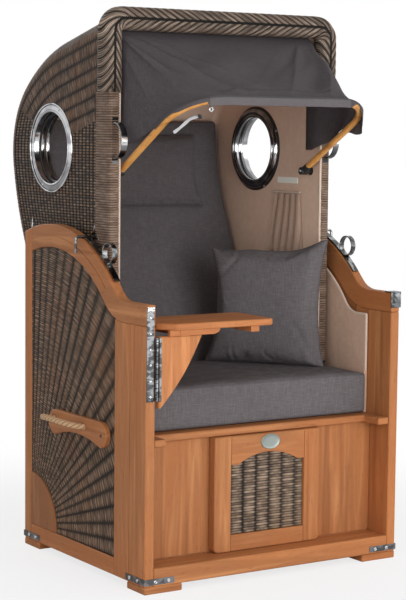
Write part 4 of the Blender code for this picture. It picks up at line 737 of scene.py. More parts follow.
def braid_skin():
    """The plaited roll: an oval section swept round the rim, with bundles of strands that slant inward.

    Each bundle is a ridge of its own and carries four finer ridges.
    """
    line = bent_line(BRAID_HALF, BRAID_LOW, BRAID_TOP, BRAID_BEND, 950)
    x, z, out_x, out_z, length = (part[:, None] for part in line)
    angle = circle(96)[None]
    front = np.sin(angle) > 0
    across = -np.cos(angle) * BRAID_WIDE / 2
    forward = np.where(front, np.abs(np.sin(angle)) ** 0.7 * BRAID_DEEP, 0.0)
    q = -np.cos(angle) * np.ones_like(length)
    pitch, slant, fine_ridges = 0.0262, 0.052, 4
    half = np.where(q > 0, 0.5, 0.0)
    bundle = (length + slant * np.abs(q) ** 0.85) / pitch + half
    arch = np.abs(np.sin(np.pi * bundle)) ** 0.55
    fine = np.abs(np.sin(np.pi * bundle * fine_ridges)) ** 0.8
    dive = smooth_step(np.abs(q), 0.0, 0.16)
    height = (0.35 * arch + 0.65 * fine * arch**0.5) * (0.15 + 0.85 * dive)
    height = np.where(front, height, 0.6)
    reach = 1 + np.where(front, (height - 0.5) * 0.15, 0)
    middle = BRAID_BACK - BRAID_DEEP * 0.12
    y = np.where(front, middle - forward * reach * 0.94, BRAID_BACK + 0 * length)
    shift = across * (1 + np.where(front, (height - 0.4) * 0.05, 0))
    points = capped(stack(x + out_x * shift, y, z + out_z * shift))
    along = length + 0 * angle + 0.4 * q * 0.02
    height, along, strand = (ends_twice(part) for part in (height + 0 * length, along, bundle * fine_ridges))
    return patch(points, (False, True), height=height, along=along, strand=strand)


make("roof_weave", [roof_skin(ROOF_START, ROOF_END, 400)], WICKER, "hood", "wicker")
make("back_weave", [roof_skin(ROOF_END, BACK_END, 430)], WICKER, "hood", "wicker")
for label, side in SIDES.items():
    make(label + "_upper_weave", [upper_side_skin(side)], WICKER, "hood", "wicker")
    make(label + "_side_weave", [lower_side_skin(side)], SIDE_WICKER, "hood", "wicker")
    make(label + "_edge_binding", [edge_binding(side)], EDGE_WICKER, "hood", "wicker")
make("braid_roll", [braid_skin()], BRAID, "hood", "braid", ["hood_braid"])


# The woven fields of the base

GUSSET = np.array([REAR - 0.042 - GAP, RAIL_TOP + GAP])
PANEL_FRONT = FRONT + 0.170 + GAP


def arched(y, flat_end, bend_end, flat, bend_middle, bend_radius, arc_radius):
    """A height over Y: a flat, a hollow bend about (flat_end, bend_middle) and an arc round the pivot."""
    bend = bend_middle - np.sqrt(np.maximum(bend_radius**2 - (y - flat_end) ** 2, 0))
    arc = PIVOT[1] + np.sqrt(np.maximum(arc_radius**2 - (y - PIVOT[0]) ** 2, 0))
    return np.where(y < flat_end, flat, np.where(y < bend_end, bend, arc))


def under_arm(y):
    """The height of the arm's lower edge."""
    return arched(y, -0.3304, -0.2212, 0.738, 0.888, 0.150, 0.429)


def lining_line(y):
    """The height of a base lining's upper edge."""
    return arched(y, -0.3018, -0.2426, 0.722, 0.797, 0.075, 0.423)


def sunburst_skin(side):
    """Ribs that fan out from the gusset's corner and rings of strands round them.

    point = corner + r * (-cos a, sin a), with r from the gusset's edge to the frame
    """
    a = curve(0.0, np.pi / 2, 150)[None]
    reach = curve(0.16, 1.05, 900)[:, None]
    y, z = GUSSET[0] - reach * np.cos(a), GUSSET[1] + reach * np.sin(a)
    inside = (y > PANEL_FRONT) & (z < under_arm(y))
    low = 0.1612
    high = reach[:, 0][inside.shape[0] - 1 - inside[::-1].argmax(0)] - 0.0006
    r = low + curve(0, 1, 500)[:, None] * (high - low)[None]
    rib, strand = 0.03, 0.0066
    ribs = (90 / 2.7) * np.log(5.7 / (5.7 - 2.7 * np.degrees(a) / 90))
    height = banded(ribs * rib, r, rib, strand, 0.25)
    rim = smooth_step(r, low, low + 0.002) * smooth_step(high - r, 0.0, 0.002)
    x = PANEL_FACE + GAP + 0.0026 * height * rim
    points = stack(side * x, GUSSET[0] - r * np.cos(a), GUSSET[1] + r * np.sin(a))
    return patch(points, flip=side > 0, height=height, along=ribs * rib + 0 * r, strand=r / strand)


def inset_skin():
    """The drawer's woven inset: a flat field of level strands, cut off under an arched top edge."""
    left, low, face, wide, high = -0.1147, 0.1193, -0.3859, 0.2534, 0.2304
    stake, strand, edge = 0.0452, 0.0076, 0.002
    u = curve(0, wide, int(wide / stake * 6) + 2)[None]
    v = curve(0, high, int(high / strand * 4.5) + 2)[:, None]
    height = banded(u, v, stake, strand, 0.3)
    rim = smooth_step(u, 0, edge) * smooth_step(wide - u, 0, edge)
    rim = rim * smooth_step(v, 0, edge) * smooth_step(high - v, 0, edge)
    x, z = left + u, low + v
    keep = z < 0.325 + 0.030 * np.maximum(0, 1 - ((x - 0.012) / 0.103) ** 2)
    points = stack(x, face - GAP - 0.0034 * height * rim, z)
    return patch(points, flip=True, keep=keep, height=height, along=u + 0 * v, strand=v / strand + 0 * u)


for label, side in SIDES.items():
    make(label + "_sunburst_weave", [sunburst_skin(side)], SUN_WICKER, "base", "wicker")


# Ropes


def rope(side):
    """Three strands laid round the handle's path: each is a round bar on a helix, all turned as one skin.

    radius = rope radius * (0.80 + 0.20 * |cos(1.5 * (angle - turns * length))| ^ 0.6)
    """
    steps, sides = 420, 48
    angle = curve(0, np.pi, steps)
    face, reach = PANEL_FACE + GAP - 0.0001, 0.017 + 0.052
    middle, half, height = FRONT + 0.413, 0.090, 0.420
    out = reach * np.sin(angle) ** 0.62
    skew = np.sin(angle) ** 1.5
    x = side * (face + out + 0.001)
    path = stack(x, middle - half * np.cos(angle) + 0.030 * skew, height + 0.013 * skew)
    length = np.concatenate([[0], np.cumsum(np.linalg.norm(np.diff(path, axis=0), axis=1))])
    even = curve(0, length[-1], steps)
    path = stack(*(np.interp(even, length, path[:, i]) for i in range(3)))
    around = circle(sides)[None]
    turn = even[:, None] * (2 * np.pi / 0.046)
    lobe = np.abs(np.cos(1.5 * (around - turn)))
    radius = 0.0088 * (0.80 + 0.20 * lobe**0.6)
    strand = (around - turn) * 1.5 / np.pi
    height, along, strand = (ends_twice(part) for part in (lobe, even[:, None], strand))
    return sweep(path, radius, sides, height=height, along=along, strand=strand)


for label, side in SIDES.items():
    make(label + "_rope", [rope(side)], ROPE, "base", "rope", [label + "_rope_handle"])


# Windows


def off(face, *pairs):
    """Places of a profile as (radius, height), given as (radius, distance from a face)."""
    return [(radius, face + away) for radius, away in pairs]


def ring(centre, axis, radius, thick, sides=96):
    """A plain round ring."""
    a = circle(12)
    section = stack(radius + thick * np.cos(a), thick * np.sin(a))
    return turned(section, centre, axis, sides, loop=True, flip=True)


def screw(centre, axis, radius, proud):
    """A domed screw head with a cross recess pressed into it."""
    r = np.array([1, 1, 0.97, 0.9, 0.78, 0.62, 0.45, 0.28, 0.12, 0.0]) * radius
    h = np.array([-0.5, 0.2, 0.5, 0.68, 0.82, 0.92, 0.97, 1.0, 1.0, 1.0]) * proud
    made = turned(stack(r, h), centre, axis, 40, flip=True)
    axis, side, other = square_to(axis)
    away = made["points"] - np.asarray(centre)
    a, b = np.abs(away @ side / radius), np.abs(away @ other / radius)
    slots = [smooth_step(0.24 - p, 0, 0.14) * smooth_step(0.62 - q, 0, 0.15) for p, q in ((a, b), (b, a))]
    made["points"] = made["points"] - (np.maximum(*slots) * proud * 0.6)[..., None] * axis
    return made


def round_window(label, side):
    """A wide polished flange outside, dark seams, a sleeve and a darker flange with a bright ring inside. The
    flanges' sectors and bright bands are painted reflections and a painted highlight, and the inner flange's
    darker tone is painted shade.
    """
    centre, axis = np.array([0, *WINDOW]), (side, 0, 0)
    flange = off(
        HOOD_HALF, (0.133, 0.0002), (0.133, 0.0052), (0.1315, 0.0070), (0.1292, 0.0070), (0.1280, 0.0052),
        (0.1270, 0.0045), (0.1180, 0.0058), (0.1120, 0.0066), (0.1096, 0.0072), (0.1078, 0.0070),
        (0.1064, 0.0060), (0.1060, 0.0040),
    )
    flange += off(LINED_HALF, (0.1060, 0.018), (0.1105, 0.018)) + off(HOOD_HALF, (0.1105, 0.0002))
    made = turned(flange, centre, axis, 96, loop=True, flip=True)
    make(label + "_window_frame", [made], OUTER_CHROME, "hood", "chrome", [label + "_window_ring"], sharp=38)
    bezel = off(
        LINED_HALF, (0.1102, -0.0003), (0.1270, -0.0003), (0.1275, -0.0050), (0.1255, -0.0100),
        (0.1215, -0.0135), (0.1170, -0.0150), (0.1125, -0.0140), (0.1105, -0.0118), (0.1098, -0.0100),
        (0.1088, -0.0118),
        (0.1065, -0.0142), (0.1035, -0.0145), (0.1005, -0.0125), (0.0990, -0.0090), (0.0988, 0.0006),
        (0.0996, 0.0014), (0.0996, 0.0026), (0.0988, 0.0034), (0.0985, 0.0175), (0.1102, 0.0175),
    )
    made = turned(bezel, centre, axis, 128, loop=True)
    make(label + "_window_inner_frame", [made], WINDOW_CHROME, "hood", "chrome", sharp=50)
    seams = [
        ring(centre + [side * (face + away), 0, 0], axis, radius, thick)
        for face, away, radius, thick in (
            (HOOD_HALF, 0.0050, 0.1275, 0.0009), (HOOD_HALF, 0.0058, 0.1130, 0.0009),
            (LINED_HALF, -0.0108, 0.1097, 0.0013), (LINED_HALF, 0.0020, 0.0990, 0.0011),
            (LINED_HALF, 0.0178, 0.1030, 0.0022),
        )
    ]
    seal = off(LINED_HALF, (0.1250, -0.0002), (0.1335, -0.0002), (0.1335, -0.0030), (0.1320, -0.0042),
               (0.1262, -0.0042))
    seams.append(turned(seal, centre, axis, 96, loop=True))
    make(label + "_window_gasket", seams, GASKET, "hood", "chrome")
    heads = []
    for degrees, height, reach, out, radius, proud in (
        ((25, 115, 205, 295), HOOD_HALF + 0.0052, 0.1222, side, 0.0036, 0.0016),
        ((60, 154, 245, 335), LINED_HALF - 0.0044, 0.1300, -side, 0.0040, 0.0018),
    ):
        for turn in np.radians(degrees):
            place = centre + [side * height, reach * np.cos(turn), reach * np.sin(turn)]
            heads.append(screw(place, (out, 0, 0), radius, proud))
    make(label + "_window_screws", heads, BRIGHT, "hood", "chrome")


for label, side in SIDES.items():
    round_window(label, side)


# Cushions


def block(shape, counts):
    """Six grids of shares u, v, w from -1 to 1, the skin of a block, each moved to shape(u, v, w)."""
    lines = [curve(-1, 1, count + 1) for count in counts]
    faces = []
    for fixed, first, second in ((0, 1, 2), (1, 2, 0), (2, 0, 1)):
        grid = np.meshgrid(lines[first], lines[second], indexing="ij")
        for end in (-1.0, 1.0):
            shares = [None, None, None]
            shares[fixed], shares[first], shares[second] = np.full_like(grid[0], end), grid[0], grid[1]
            faces.append(patch(shape(*shares)))
    return faces


def toward_edge(share):
    """Moves even shares toward the edges, where a cushion rounds over: sin(share * pi / 2)."""
    return np.sin(share * np.pi / 2)


def places(mesh):
    got = np.empty(len(mesh.vertices) * 3, np.float32)
    mesh.vertices.foreach_get("co", got)
    return got.reshape(-1, 3).astype(float)


def put_places(mesh, points):
    mesh.vertices.foreach_set("co", points.astype(np.float32).ravel())
    mesh.update()


def puffed(name, faces, cap, voxel, pressure=4.0, stiff=15.0):
    """A closed body swollen like a filled cushion: cloth under air pressure, held within cap of its start.

    moved = cap * tanh(distance / cap) along the way that the cloth went
    """
    frames = 20
    obj = make(name, faces, GREY_CLOTH, None, "grey_fabric", merge=1e-5)
    work = bmesh.new()
    work.from_mesh(obj.data)
    bmesh.ops.recalc_face_normals(work, faces=work.faces)
    work.to_mesh(obj.data)
    work.free()
    even = obj.modifiers.new("even", "REMESH")
    even.mode = "VOXEL"
    even.voxel_size = voxel
    applied(obj)
    start = places(obj.data)
    air = obj.modifiers.new("air", "CLOTH")
    air.settings.quality = 5
    air.settings.tension_stiffness = air.settings.compression_stiffness = stiff
    air.settings.shear_stiffness = 5
    air.settings.bending_stiffness = 0.5
    air.settings.use_pressure = True
    air.settings.uniform_pressure_force = pressure
    air.settings.effector_weights.gravity = 0
    air.collision_settings.use_collision = False
    air.point_cache.frame_start, air.point_cache.frame_end = 1, frames
    for number in range(1, frames + 1):
        bpy.context.scene.frame_set(number)
    seen = obj.evaluated_get(bpy.context.evaluated_depsgraph_get())
    moved = places(seen.data) - start
    obj.modifiers.clear()
    bpy.context.scene.frame_set(1)
    far = np.linalg.norm(moved, axis=1, keepdims=True)
    put_places(obj.data, start + moved * cap * np.tanh(far / cap) / np.maximum(far, 1e-9))
    return obj


def finish_cushion(obj, body, node, sewn, finish=GREY_CLOTH):
    """One subdivision, then the seams' pull on the cloth, and the cushion's place in the model."""
    finer = obj.modifiers.new("finer", "SUBSURF")
    finer.levels = finer.render_levels = 1
    mesh = applied(obj)
    put_places(mesh, sewn(places(mesh)))
    mesh.shade_smooth()
    dress(obj, finish, body, "grey_fabric", [node])
    return obj


def welt(name, obj, loops, radius, body, lift):
    """Sewn edges: thin round cords along loops, each point moved to the nearest place on the cushion."""
    tree = BVHTree.FromObject(obj, bpy.context.evaluated_depsgraph_get())
    cords = []
    for loop, closed in loops:
        hits = [tree.find_nearest(Vector(point)) for point in loop]
        path = np.array([hit[0] + hit[1] * lift for hit in hits])
        if closed:
            smooth = (np.roll(path, 1, 0) + path * 2 + np.roll(path, -1, 0)) / 4
            path = np.vstack([smooth, smooth[:2]])
        cords.append(sweep(path, radius, 8, (0.12, 0.31, 0.94)))
    return make(name, cords, SEAM_CLOTH, body, "grey_fabric")


SEAT_LOW, SEAT_HIGH = 0.4258, 0.5525
SEAT_START, SEAT_END, SEAT_STEP = FRONT + 0.091, 0.1180, -0.1779
SEAT_MIDDLE, SEAT_REACH = (SEAT_START + SEAT_END) / 2, (SEAT_END - SEAT_START) / 2
SEAT_INSET, SEAT_ROUND, SEAT_CROWN = 0.0032, 0.008, 0.007
PILLOW_FOOT = 0.5553


def seat_half(y):
    """Half the seat cushion's width: widest before the linings, full between them, narrower in the hood."""
    before = 0.009 * (1 - smooth_step(y, -0.358, -0.351))
    return 0.391 + before - 0.046 * smooth_step(y, SEAT_STEP - 0.010, SEAT_STEP + 0.006)


def seat_shape(u, v, w):
    """A block with rounded edges: each point is pushed onto a ball of 8 mm rolled inside the block."""
    half_z = (SEAT_HIGH - SEAT_LOW) / 2
    y = toward_edge(v) * (SEAT_REACH - SEAT_INSET)
    wide = seat_half(SEAT_MIDDLE + y) - SEAT_INSET
    points = stack(toward_edge(u) * wide, y, w * (half_z - SEAT_INSET))
    limit = stack(wide, SEAT_REACH - SEAT_INSET, half_z - SEAT_INSET) - SEAT_ROUND
    core = np.clip(points, -limit, limit)
    out = points - core
    size = np.linalg.norm(out, axis=-1, keepdims=True)
    points = np.where(size > 1e-9, core + out / np.maximum(size, 1e-9) * SEAT_ROUND, points)
    swell = (1 - (points[..., 0] / wide) ** 2) * (1 - (y / SEAT_REACH) ** 2)
    points[..., 2] += np.where(w > 0, SEAT_CROWN * swell, 0)
    return points + [0, SEAT_MIDDLE, (SEAT_LOW + SEAT_HIGH) / 2]


def seat_cushion():
    obj = puffed("seat_cushion_padded", block(seat_shape, (64, 44, 12)), 0.0040, 0.0073)
    heights = [SEAT_HIGH - 0.004, SEAT_LOW + 0.004]

    def sewn(points):
        """The welts pull a shallow line in round the walls' top and bottom, and the underside is flat."""
        for height in heights:
            near = np.exp(-(((points[:, 2] - height) / 0.004) ** 2))
            outer = seat_half(points[:, 1]) - np.abs(points[:, 0]) < 0.02
            outer |= (points[:, 1] - SEAT_START < 0.02) | (SEAT_END - points[:, 1] < 0.02)
            points[:, 1] += np.where(points[:, 1] - SEAT_START < 0.012, 0.0012, 0) * near
            points[:, 0] -= np.where(outer, np.sign(points[:, 0]) * 0.0008, 0) * near
        across = np.sin(points[:, 0] * 31 + np.sin(points[:, 1] * 9) * 2)
        waves = 0.0011 * across * np.sin(points[:, 1] * 17 + 0.6)
        points[:, 2] += np.where(points[:, 2] > SEAT_HIGH - 0.02, waves, 0)
        points[:, 2] = np.clip(points[:, 2], SEAT_LOW, PILLOW_FOOT - 0.0003)
        return points

    finish_cushion(obj, "base", "seat_cushion", sewn)
    loops = []
    for height in heights:
        front = stack(curve(-0.389, 0.389, 220), SEAT_START, height)
        along = curve(SEAT_START, SEAT_STEP - 0.012, 90)
        right = stack(seat_half(along), along, height)
        loops.append((np.vstack([right[::-1] * [-1, 1, 1], front, right]), False))
    welt("seat_cushion_welts", obj, loops, 0.0013, "base", 0.0004)


PILLOW_HALF, PILLOW_SHARE, PILLOW_RISE = 0.192, 0.975, 0.1900
PILLOW_THICK, PILLOW_EDGE, PILLOW_DRAW = 0.078, 0.011, 0.085
PILLOW_TURN, PILLOW_LEAN = np.radians(-52), np.radians(4)
PILLOW_PLACE = np.array([0.212, -0.0850, PILLOW_FOOT])


def rotated(a, b, angle):
    return a * np.cos(angle) - b * np.sin(angle), a * np.sin(angle) + b * np.cos(angle)


def pillow_place(a, b, out):
    """A place on the pillow, across, up and out of it, as a place in the chair: leant back and turned."""
    z, y = rotated(b, out, PILLOW_LEAN)
    x, y = rotated(a, y, PILLOW_TURN)
    return stack(x, y, z) + PILLOW_PLACE


def pillow_inside(points):
    """The reverse: across, up and out of the pillow for points of the chair."""
    x, y, z = (points - PILLOW_PLACE).T
    x, y = rotated(x, y, -PILLOW_TURN)
    return x, *rotated(z, y, -PILLOW_LEAN)


def pillow_edge(a, b):
    """Across and up for shares a, b: sides drawn in between the corners, the foot nearly straight."""
    x = PILLOW_HALF * a * (1 - PILLOW_DRAW * (1 - b * b))
    z = PILLOW_SHARE * PILLOW_HALF * b * (1 - PILLOW_DRAW * (1 - a * a) * np.where(b < 0, 0.15, 1.15))
    x = x - 0.010 * smooth_step(-a, 0.5, 1) * smooth_step(-b, 0.4, 1)
    z = z + 0.013 * smooth_step(a, 0.3, 1) * smooth_step(b, 0.2, 1)
    return x, z - 0.020 * smooth_step(-a, 0.2, 1) * smooth_step(b, 0.2, 1)


def pillow_shape(u, v, w):
    """Two sheets sewn at thin pointed edges: a = half * u * (1 - draw * (1 - v^2)), puffed between them."""
    a, b = toward_edge(u), toward_edge(v)
    x, z = pillow_edge(a, b)
    puff = (np.maximum(0, 1 - a**4) * np.maximum(0, 1 - b**4)) ** 0.6
    return pillow_place(x, z + PILLOW_RISE, w * (PILLOW_EDGE + (PILLOW_THICK - PILLOW_EDGE) * puff) / 2)


def throw_pillow():
    obj = puffed("throw_pillow_padded", block(pillow_shape, (56, 56, 3)), 0.016, 0.0055, 5.0, 8.0)

    def sewn(points):
        """Puckers run in from the sewn edge as sines of the run along it, and fade 75 mm from it."""
        a, b, out = pillow_inside(points)
        b = b - PILLOW_RISE
        across, up = PILLOW_HALF - np.abs(a), PILLOW_SHARE * PILLOW_HALF - np.abs(b)
        for away, run, seed in ((across, b, 1.3), (up, a, 4.1)):
            fade = smooth_step(away, 0.010, 0.030) * (1 - smooth_step(away, 0.030, 0.075))
            wander = np.sin(run * 47 + seed) + np.sin(run * 83 + seed * 2)
            pucker = np.sin(run * 150 + wander * 1.2) * (0.5 + 0.5 * np.sin(run * 23 + seed))
            out = out + np.sign(out) * 0.0016 * fade * pucker
        fold = np.exp(-(((a + 0.115 - (b - 0.10) * 0.8) / 0.012) ** 2)) * smooth_step(b, 0.02, 0.12)
        fold += np.exp(-(((a - 0.125 + (b + 0.10) * 0.7) / 0.012) ** 2)) * smooth_step(-b, 0.02, 0.12)
        out = out - np.sign(out) * 0.0035 * fold * (np.abs(out) > 0.006)
        b = b - 0.016 * smooth_step(-b, 0.080, 0.165)
        made = pillow_place(a, b + PILLOW_RISE, out)
        made[:, 2] = np.maximum(made[:, 2], PILLOW_FOOT)
        return made

    finish_cushion(obj, "base", "throw_pillow", sewn)
    run = curve(-0.985, 0.985, 90)
    one = np.ones_like(run)
    rim = np.vstack([stack(run, -one), stack(one, run), stack(-run, one), stack(-one, -run)])
    across, up = pillow_edge(rim[:, 0], rim[:, 1])
    loop = pillow_place(across, up + PILLOW_RISE, 0 * across)
    welt("throw_pillow_seam", obj, [(loop, True)], 0.0014, "base", 0.0006)


BACK_LEAN, BACK_LEAN_END, BACK_STRAIGHT, BACK_BEND = np.radians(23.5), np.radians(5), 0.530, 0.500
BACK_FOOT = np.array([0.1141, 0.5453])
BACK_INSET, BACK_HALF = 0.0035, 0.338


def back_line(distance):
    """Y, Z and lean at a distance up the back cushion's front: straight, then a bend, then straight."""
    distance = np.asarray(distance, float)
    straight = np.minimum(distance, BACK_STRAIGHT)
    rest = distance - straight
    limit = (BACK_LEAN - BACK_LEAN_END) * BACK_BEND
    angle = BACK_LEAN - np.clip(rest, 0, limit) / BACK_BEND
    last = np.maximum(rest - limit, 0)
    y = BACK_FOOT[0] + straight * np.sin(BACK_LEAN) + BACK_BEND * (np.cos(angle) - np.cos(BACK_LEAN))
    z = BACK_FOOT[1] + straight * np.cos(BACK_LEAN) + BACK_BEND * (np.sin(BACK_LEAN) - np.sin(angle))
    return y + last * np.sin(angle), z + last * np.cos(angle), angle


BACK_RUN_LINE = curve(0, 0.90, 600)
BACK_RUN_Y, BACK_RUN_Z, _ = back_line(BACK_RUN_LINE)
LINED_BACK = HOOD_WALL + GAP + 0.003


def back_shape(u, v, w):
    """From the front line to the hood's lined back: front + (rear - front) * share, with rounded rims."""
    foot, top = np.interp([0.5725, 1.3000], BACK_RUN_Z, BACK_RUN_LINE)
    a, b = toward_edge(u), toward_edge(v)
    x = a * (BACK_HALF - BACK_INSET)
    skirt = 0.054 * (1 - w) / 2 * ((1 - b) / 2) ** 5
    y, z, _ = back_line(foot + BACK_INSET + (top - foot - 2 * BACK_INSET) * (b + 1) / 2 - skirt)
    bend = HOOD_ROUND - LINED_BACK
    over = np.clip(np.abs(x) - (LINED_HALF - bend), 0, bend)
    rear = back_edge(z, LINED_BACK) - GAP - BACK_INSET - 2 * (bend - np.sqrt(bend**2 - over**2))
    rim = np.maximum(np.abs(a), np.abs(b))
    ease = 0.012 * np.maximum(0, (rim - 0.93) / 0.07) ** 2
    front = y + ease - 0.008 * (1 - a**2) * (1 - b**4) + BACK_INSET
    return stack(x, front + (rear - ease / 2 - front) * (1 + w) / 2, z)


def back_cushion():
    obj = puffed("back_cushion_padded", block(back_shape, (60, 64, 8)), 0.0040, 0.0084)

    def sewn(points):
        """Long shallow waves over the front, where the cloth is slack."""
        y, z = points[:, 1], points[:, 2]
        front = y - np.interp(z, BACK_RUN_Z, BACK_RUN_Y) < 0.02
        waves = 0.0012 * np.sin(z * 19 + np.sin(points[:, 0] * 7) * 1.5) * np.sin(points[:, 0] * 8 + 1.1)
        points[:, 1] = y + np.where(front, waves, 0)
        return points

    finish_cushion(obj, "hood", "back_cushion", sewn, SHADED_BACK_CLOTH)
    z = curve(0.60, 1.294, 160)
    y = np.interp(z, BACK_RUN_Z, BACK_RUN_Y)
    top = stack(curve(-0.332, 0.332, 120), np.interp(1.296, BACK_RUN_Z, BACK_RUN_Y), 1.297)
    side = stack(0.335, y, z)
    loop = np.vstack([side * [-1, 1, 1], top, side[::-1]])
    welt("back_cushion_welts", obj, [(loop, False)], 0.0014, "hood", 0.0004)


HEAD_FOOT, HEAD_LENGTH, HEAD_HALF = 0.500, 0.262, 0.232
HEAD_THICK, HEAD_EDGE, HEAD_DRAW, HEAD_INSET = 0.030, 0.010, 0.045, 0.003
HEAD_OFF = 0.0106 + 0.012


def head_place(a, distance, out):
    y, z, lean = back_line(distance)
    return stack(a, y - out * np.cos(lean), z + out * np.sin(lean))


def head_inside(points):
    """Across, distance up the back line and how far in front of it, for points of the headrest."""
    distance = np.interp(points[:, 2], BACK_RUN_Z, BACK_RUN_LINE)
    for _ in range(3):
        y, z, lean = back_line(distance)
        distance = distance + (points[:, 1] - y) * np.sin(lean) + (points[:, 2] - z) * np.cos(lean)
    y, z, lean = back_line(distance)
    return points[:, 0], distance, (y - points[:, 1]) * np.cos(lean) + (points[:, 2] - z) * np.sin(lean)


def head_shape(u, v, w):
    """Two sheets sewn round their edge, the sides drawn in between the corners, puffed between them."""
    a, b = toward_edge(u), toward_edge(v)
    x = (HEAD_HALF - HEAD_INSET) * a * (1 - HEAD_DRAW * (1 - b * b))
    puff = (np.maximum(0, 1 - a**4) * np.maximum(0, 1 - b**4)) ** 0.5
    out = HEAD_OFF + 0.010 * puff + w * (HEAD_EDGE + (HEAD_THICK - HEAD_EDGE) * puff) / 2
    return head_place(x, HEAD_FOOT + HEAD_INSET + (HEAD_LENGTH - 2 * HEAD_INSET) * (b + 1) / 2, out)


def headrest():
    obj = puffed("headrest_padded", block(head_shape, (60, 40, 3)), 0.010, 0.0052, 5.0, 8.0)

    def sewn(points):
        """Gathers rise from the lower seam, and the upper edge draws in a little over its cord."""
        a, distance, out = head_inside(points)
        up = distance - HEAD_FOOT
        wander = np.sin(a * 37) + np.sin(a * 71 + 2)
        fade = smooth_step(up, 0.006, 0.016) * (1 - smooth_step(up, 0.018, 0.055))
        gather = np.sin(a * 190 + wander * 1.5) * (0.55 + 0.45 * np.sin(a * 29 + 1))
        out = out + 0.0022 * fade * gather * (out > 0.022)
        side = HEAD_HALF - np.abs(a)
        fade = smooth_step(side, 0.006, 0.016) * (1 - smooth_step(side, 0.018, 0.045))
        out = out + 0.0013 * fade * np.sin(up * 170 + np.sin(up * 60)) * (out > 0.022)
        lower = 1 - smooth_step(up, 0.0, 0.03)
        distance = distance - 0.004 * lower * smooth_step(np.abs(a), 0.19, 0.225)
        return head_place(a, distance, np.clip(out, 0.0104, 0.0575))

    finish_cushion(obj, "hood", "headrest_cushion", sewn, SHADED_HEAD_CLOTH)
    run = curve(-0.97, 0.97, 90)
    half, rise = HEAD_HALF - HEAD_INSET, 0.5 * (HEAD_LENGTH - 2 * HEAD_INSET)
    draw = half * (1 - HEAD_DRAW * (1 - run**2))
    edge = np.vstack([
        stack(run * half, -rise), stack(draw, run * rise), stack(-run * half, rise), stack(-draw, -run * rise)
    ])
    loop = head_place(edge[:, 0], HEAD_FOOT + HEAD_LENGTH / 2 + edge[:, 1], HEAD_OFF)
    welt("headrest_seam", obj, [(loop, True)], 0.0013, "hood", 0.0005)


seat_cushion()
throw_pillow()
back_cushion()
headrest()


# Awning

BOW_HALF, BOW_REACH, BOW_CORNER, BOW_RISE = 0.3226, 0.404, 0.123, np.radians(30.4)
BOW_PIVOT = np.array([-0.1143, 1.1450])
BOW_FORWARD = np.array([0, -np.cos(BOW_RISE), np.sin(BOW_RISE)])
BOW_UP = np.array([0, np.sin(BOW_RISE), np.cos(BOW_RISE)])
BOW_RADIUS, BOW_SHARE = 0.008, 0.18
AWNING_HALF, AWNING_TOP, AWNING_LOW, AWNING_ROUND = 0.341, 1.535, 1.209, 0.009
AWNING_Y, LINED_TOP = -0.1290, 1.5701
HEM_START, HEM_END = 0.214, 0.765


def on_bow(x, s, out_x, out_s):
    """Places and directions outward in the bow's sloping plane, from across and forward in it."""
    return stack(x, *BOW_PIVOT) + s[:, None] * BOW_FORWARD, stack(out_x, 0, 0) + out_s[:, None] * BOW_FORWARD


def awning_lines(u):
    """Where the cloth leaves the hood and where it passes over the bow, with the directions outward."""
    x, z, out_x, out_z, length = bent_line(AWNING_HALF, AWNING_LOW, AWNING_TOP, AWNING_ROUND, 1600)
    x, z, out_x, out_z = (np.interp(u, length / length[-1], part) for part in (x, z, out_x, out_z))
    *parts, length = bent_line(BOW_HALF, 0, BOW_REACH, BOW_CORNER, 1600)
    over_bow = BOW_SHARE + (1 - 2 * BOW_SHARE) * u
    bow = on_bow(*(np.interp(over_bow, length / length[-1], part) for part in parts))
    return stack(x, AWNING_Y, z), stack(out_x, 0, out_z), *bow


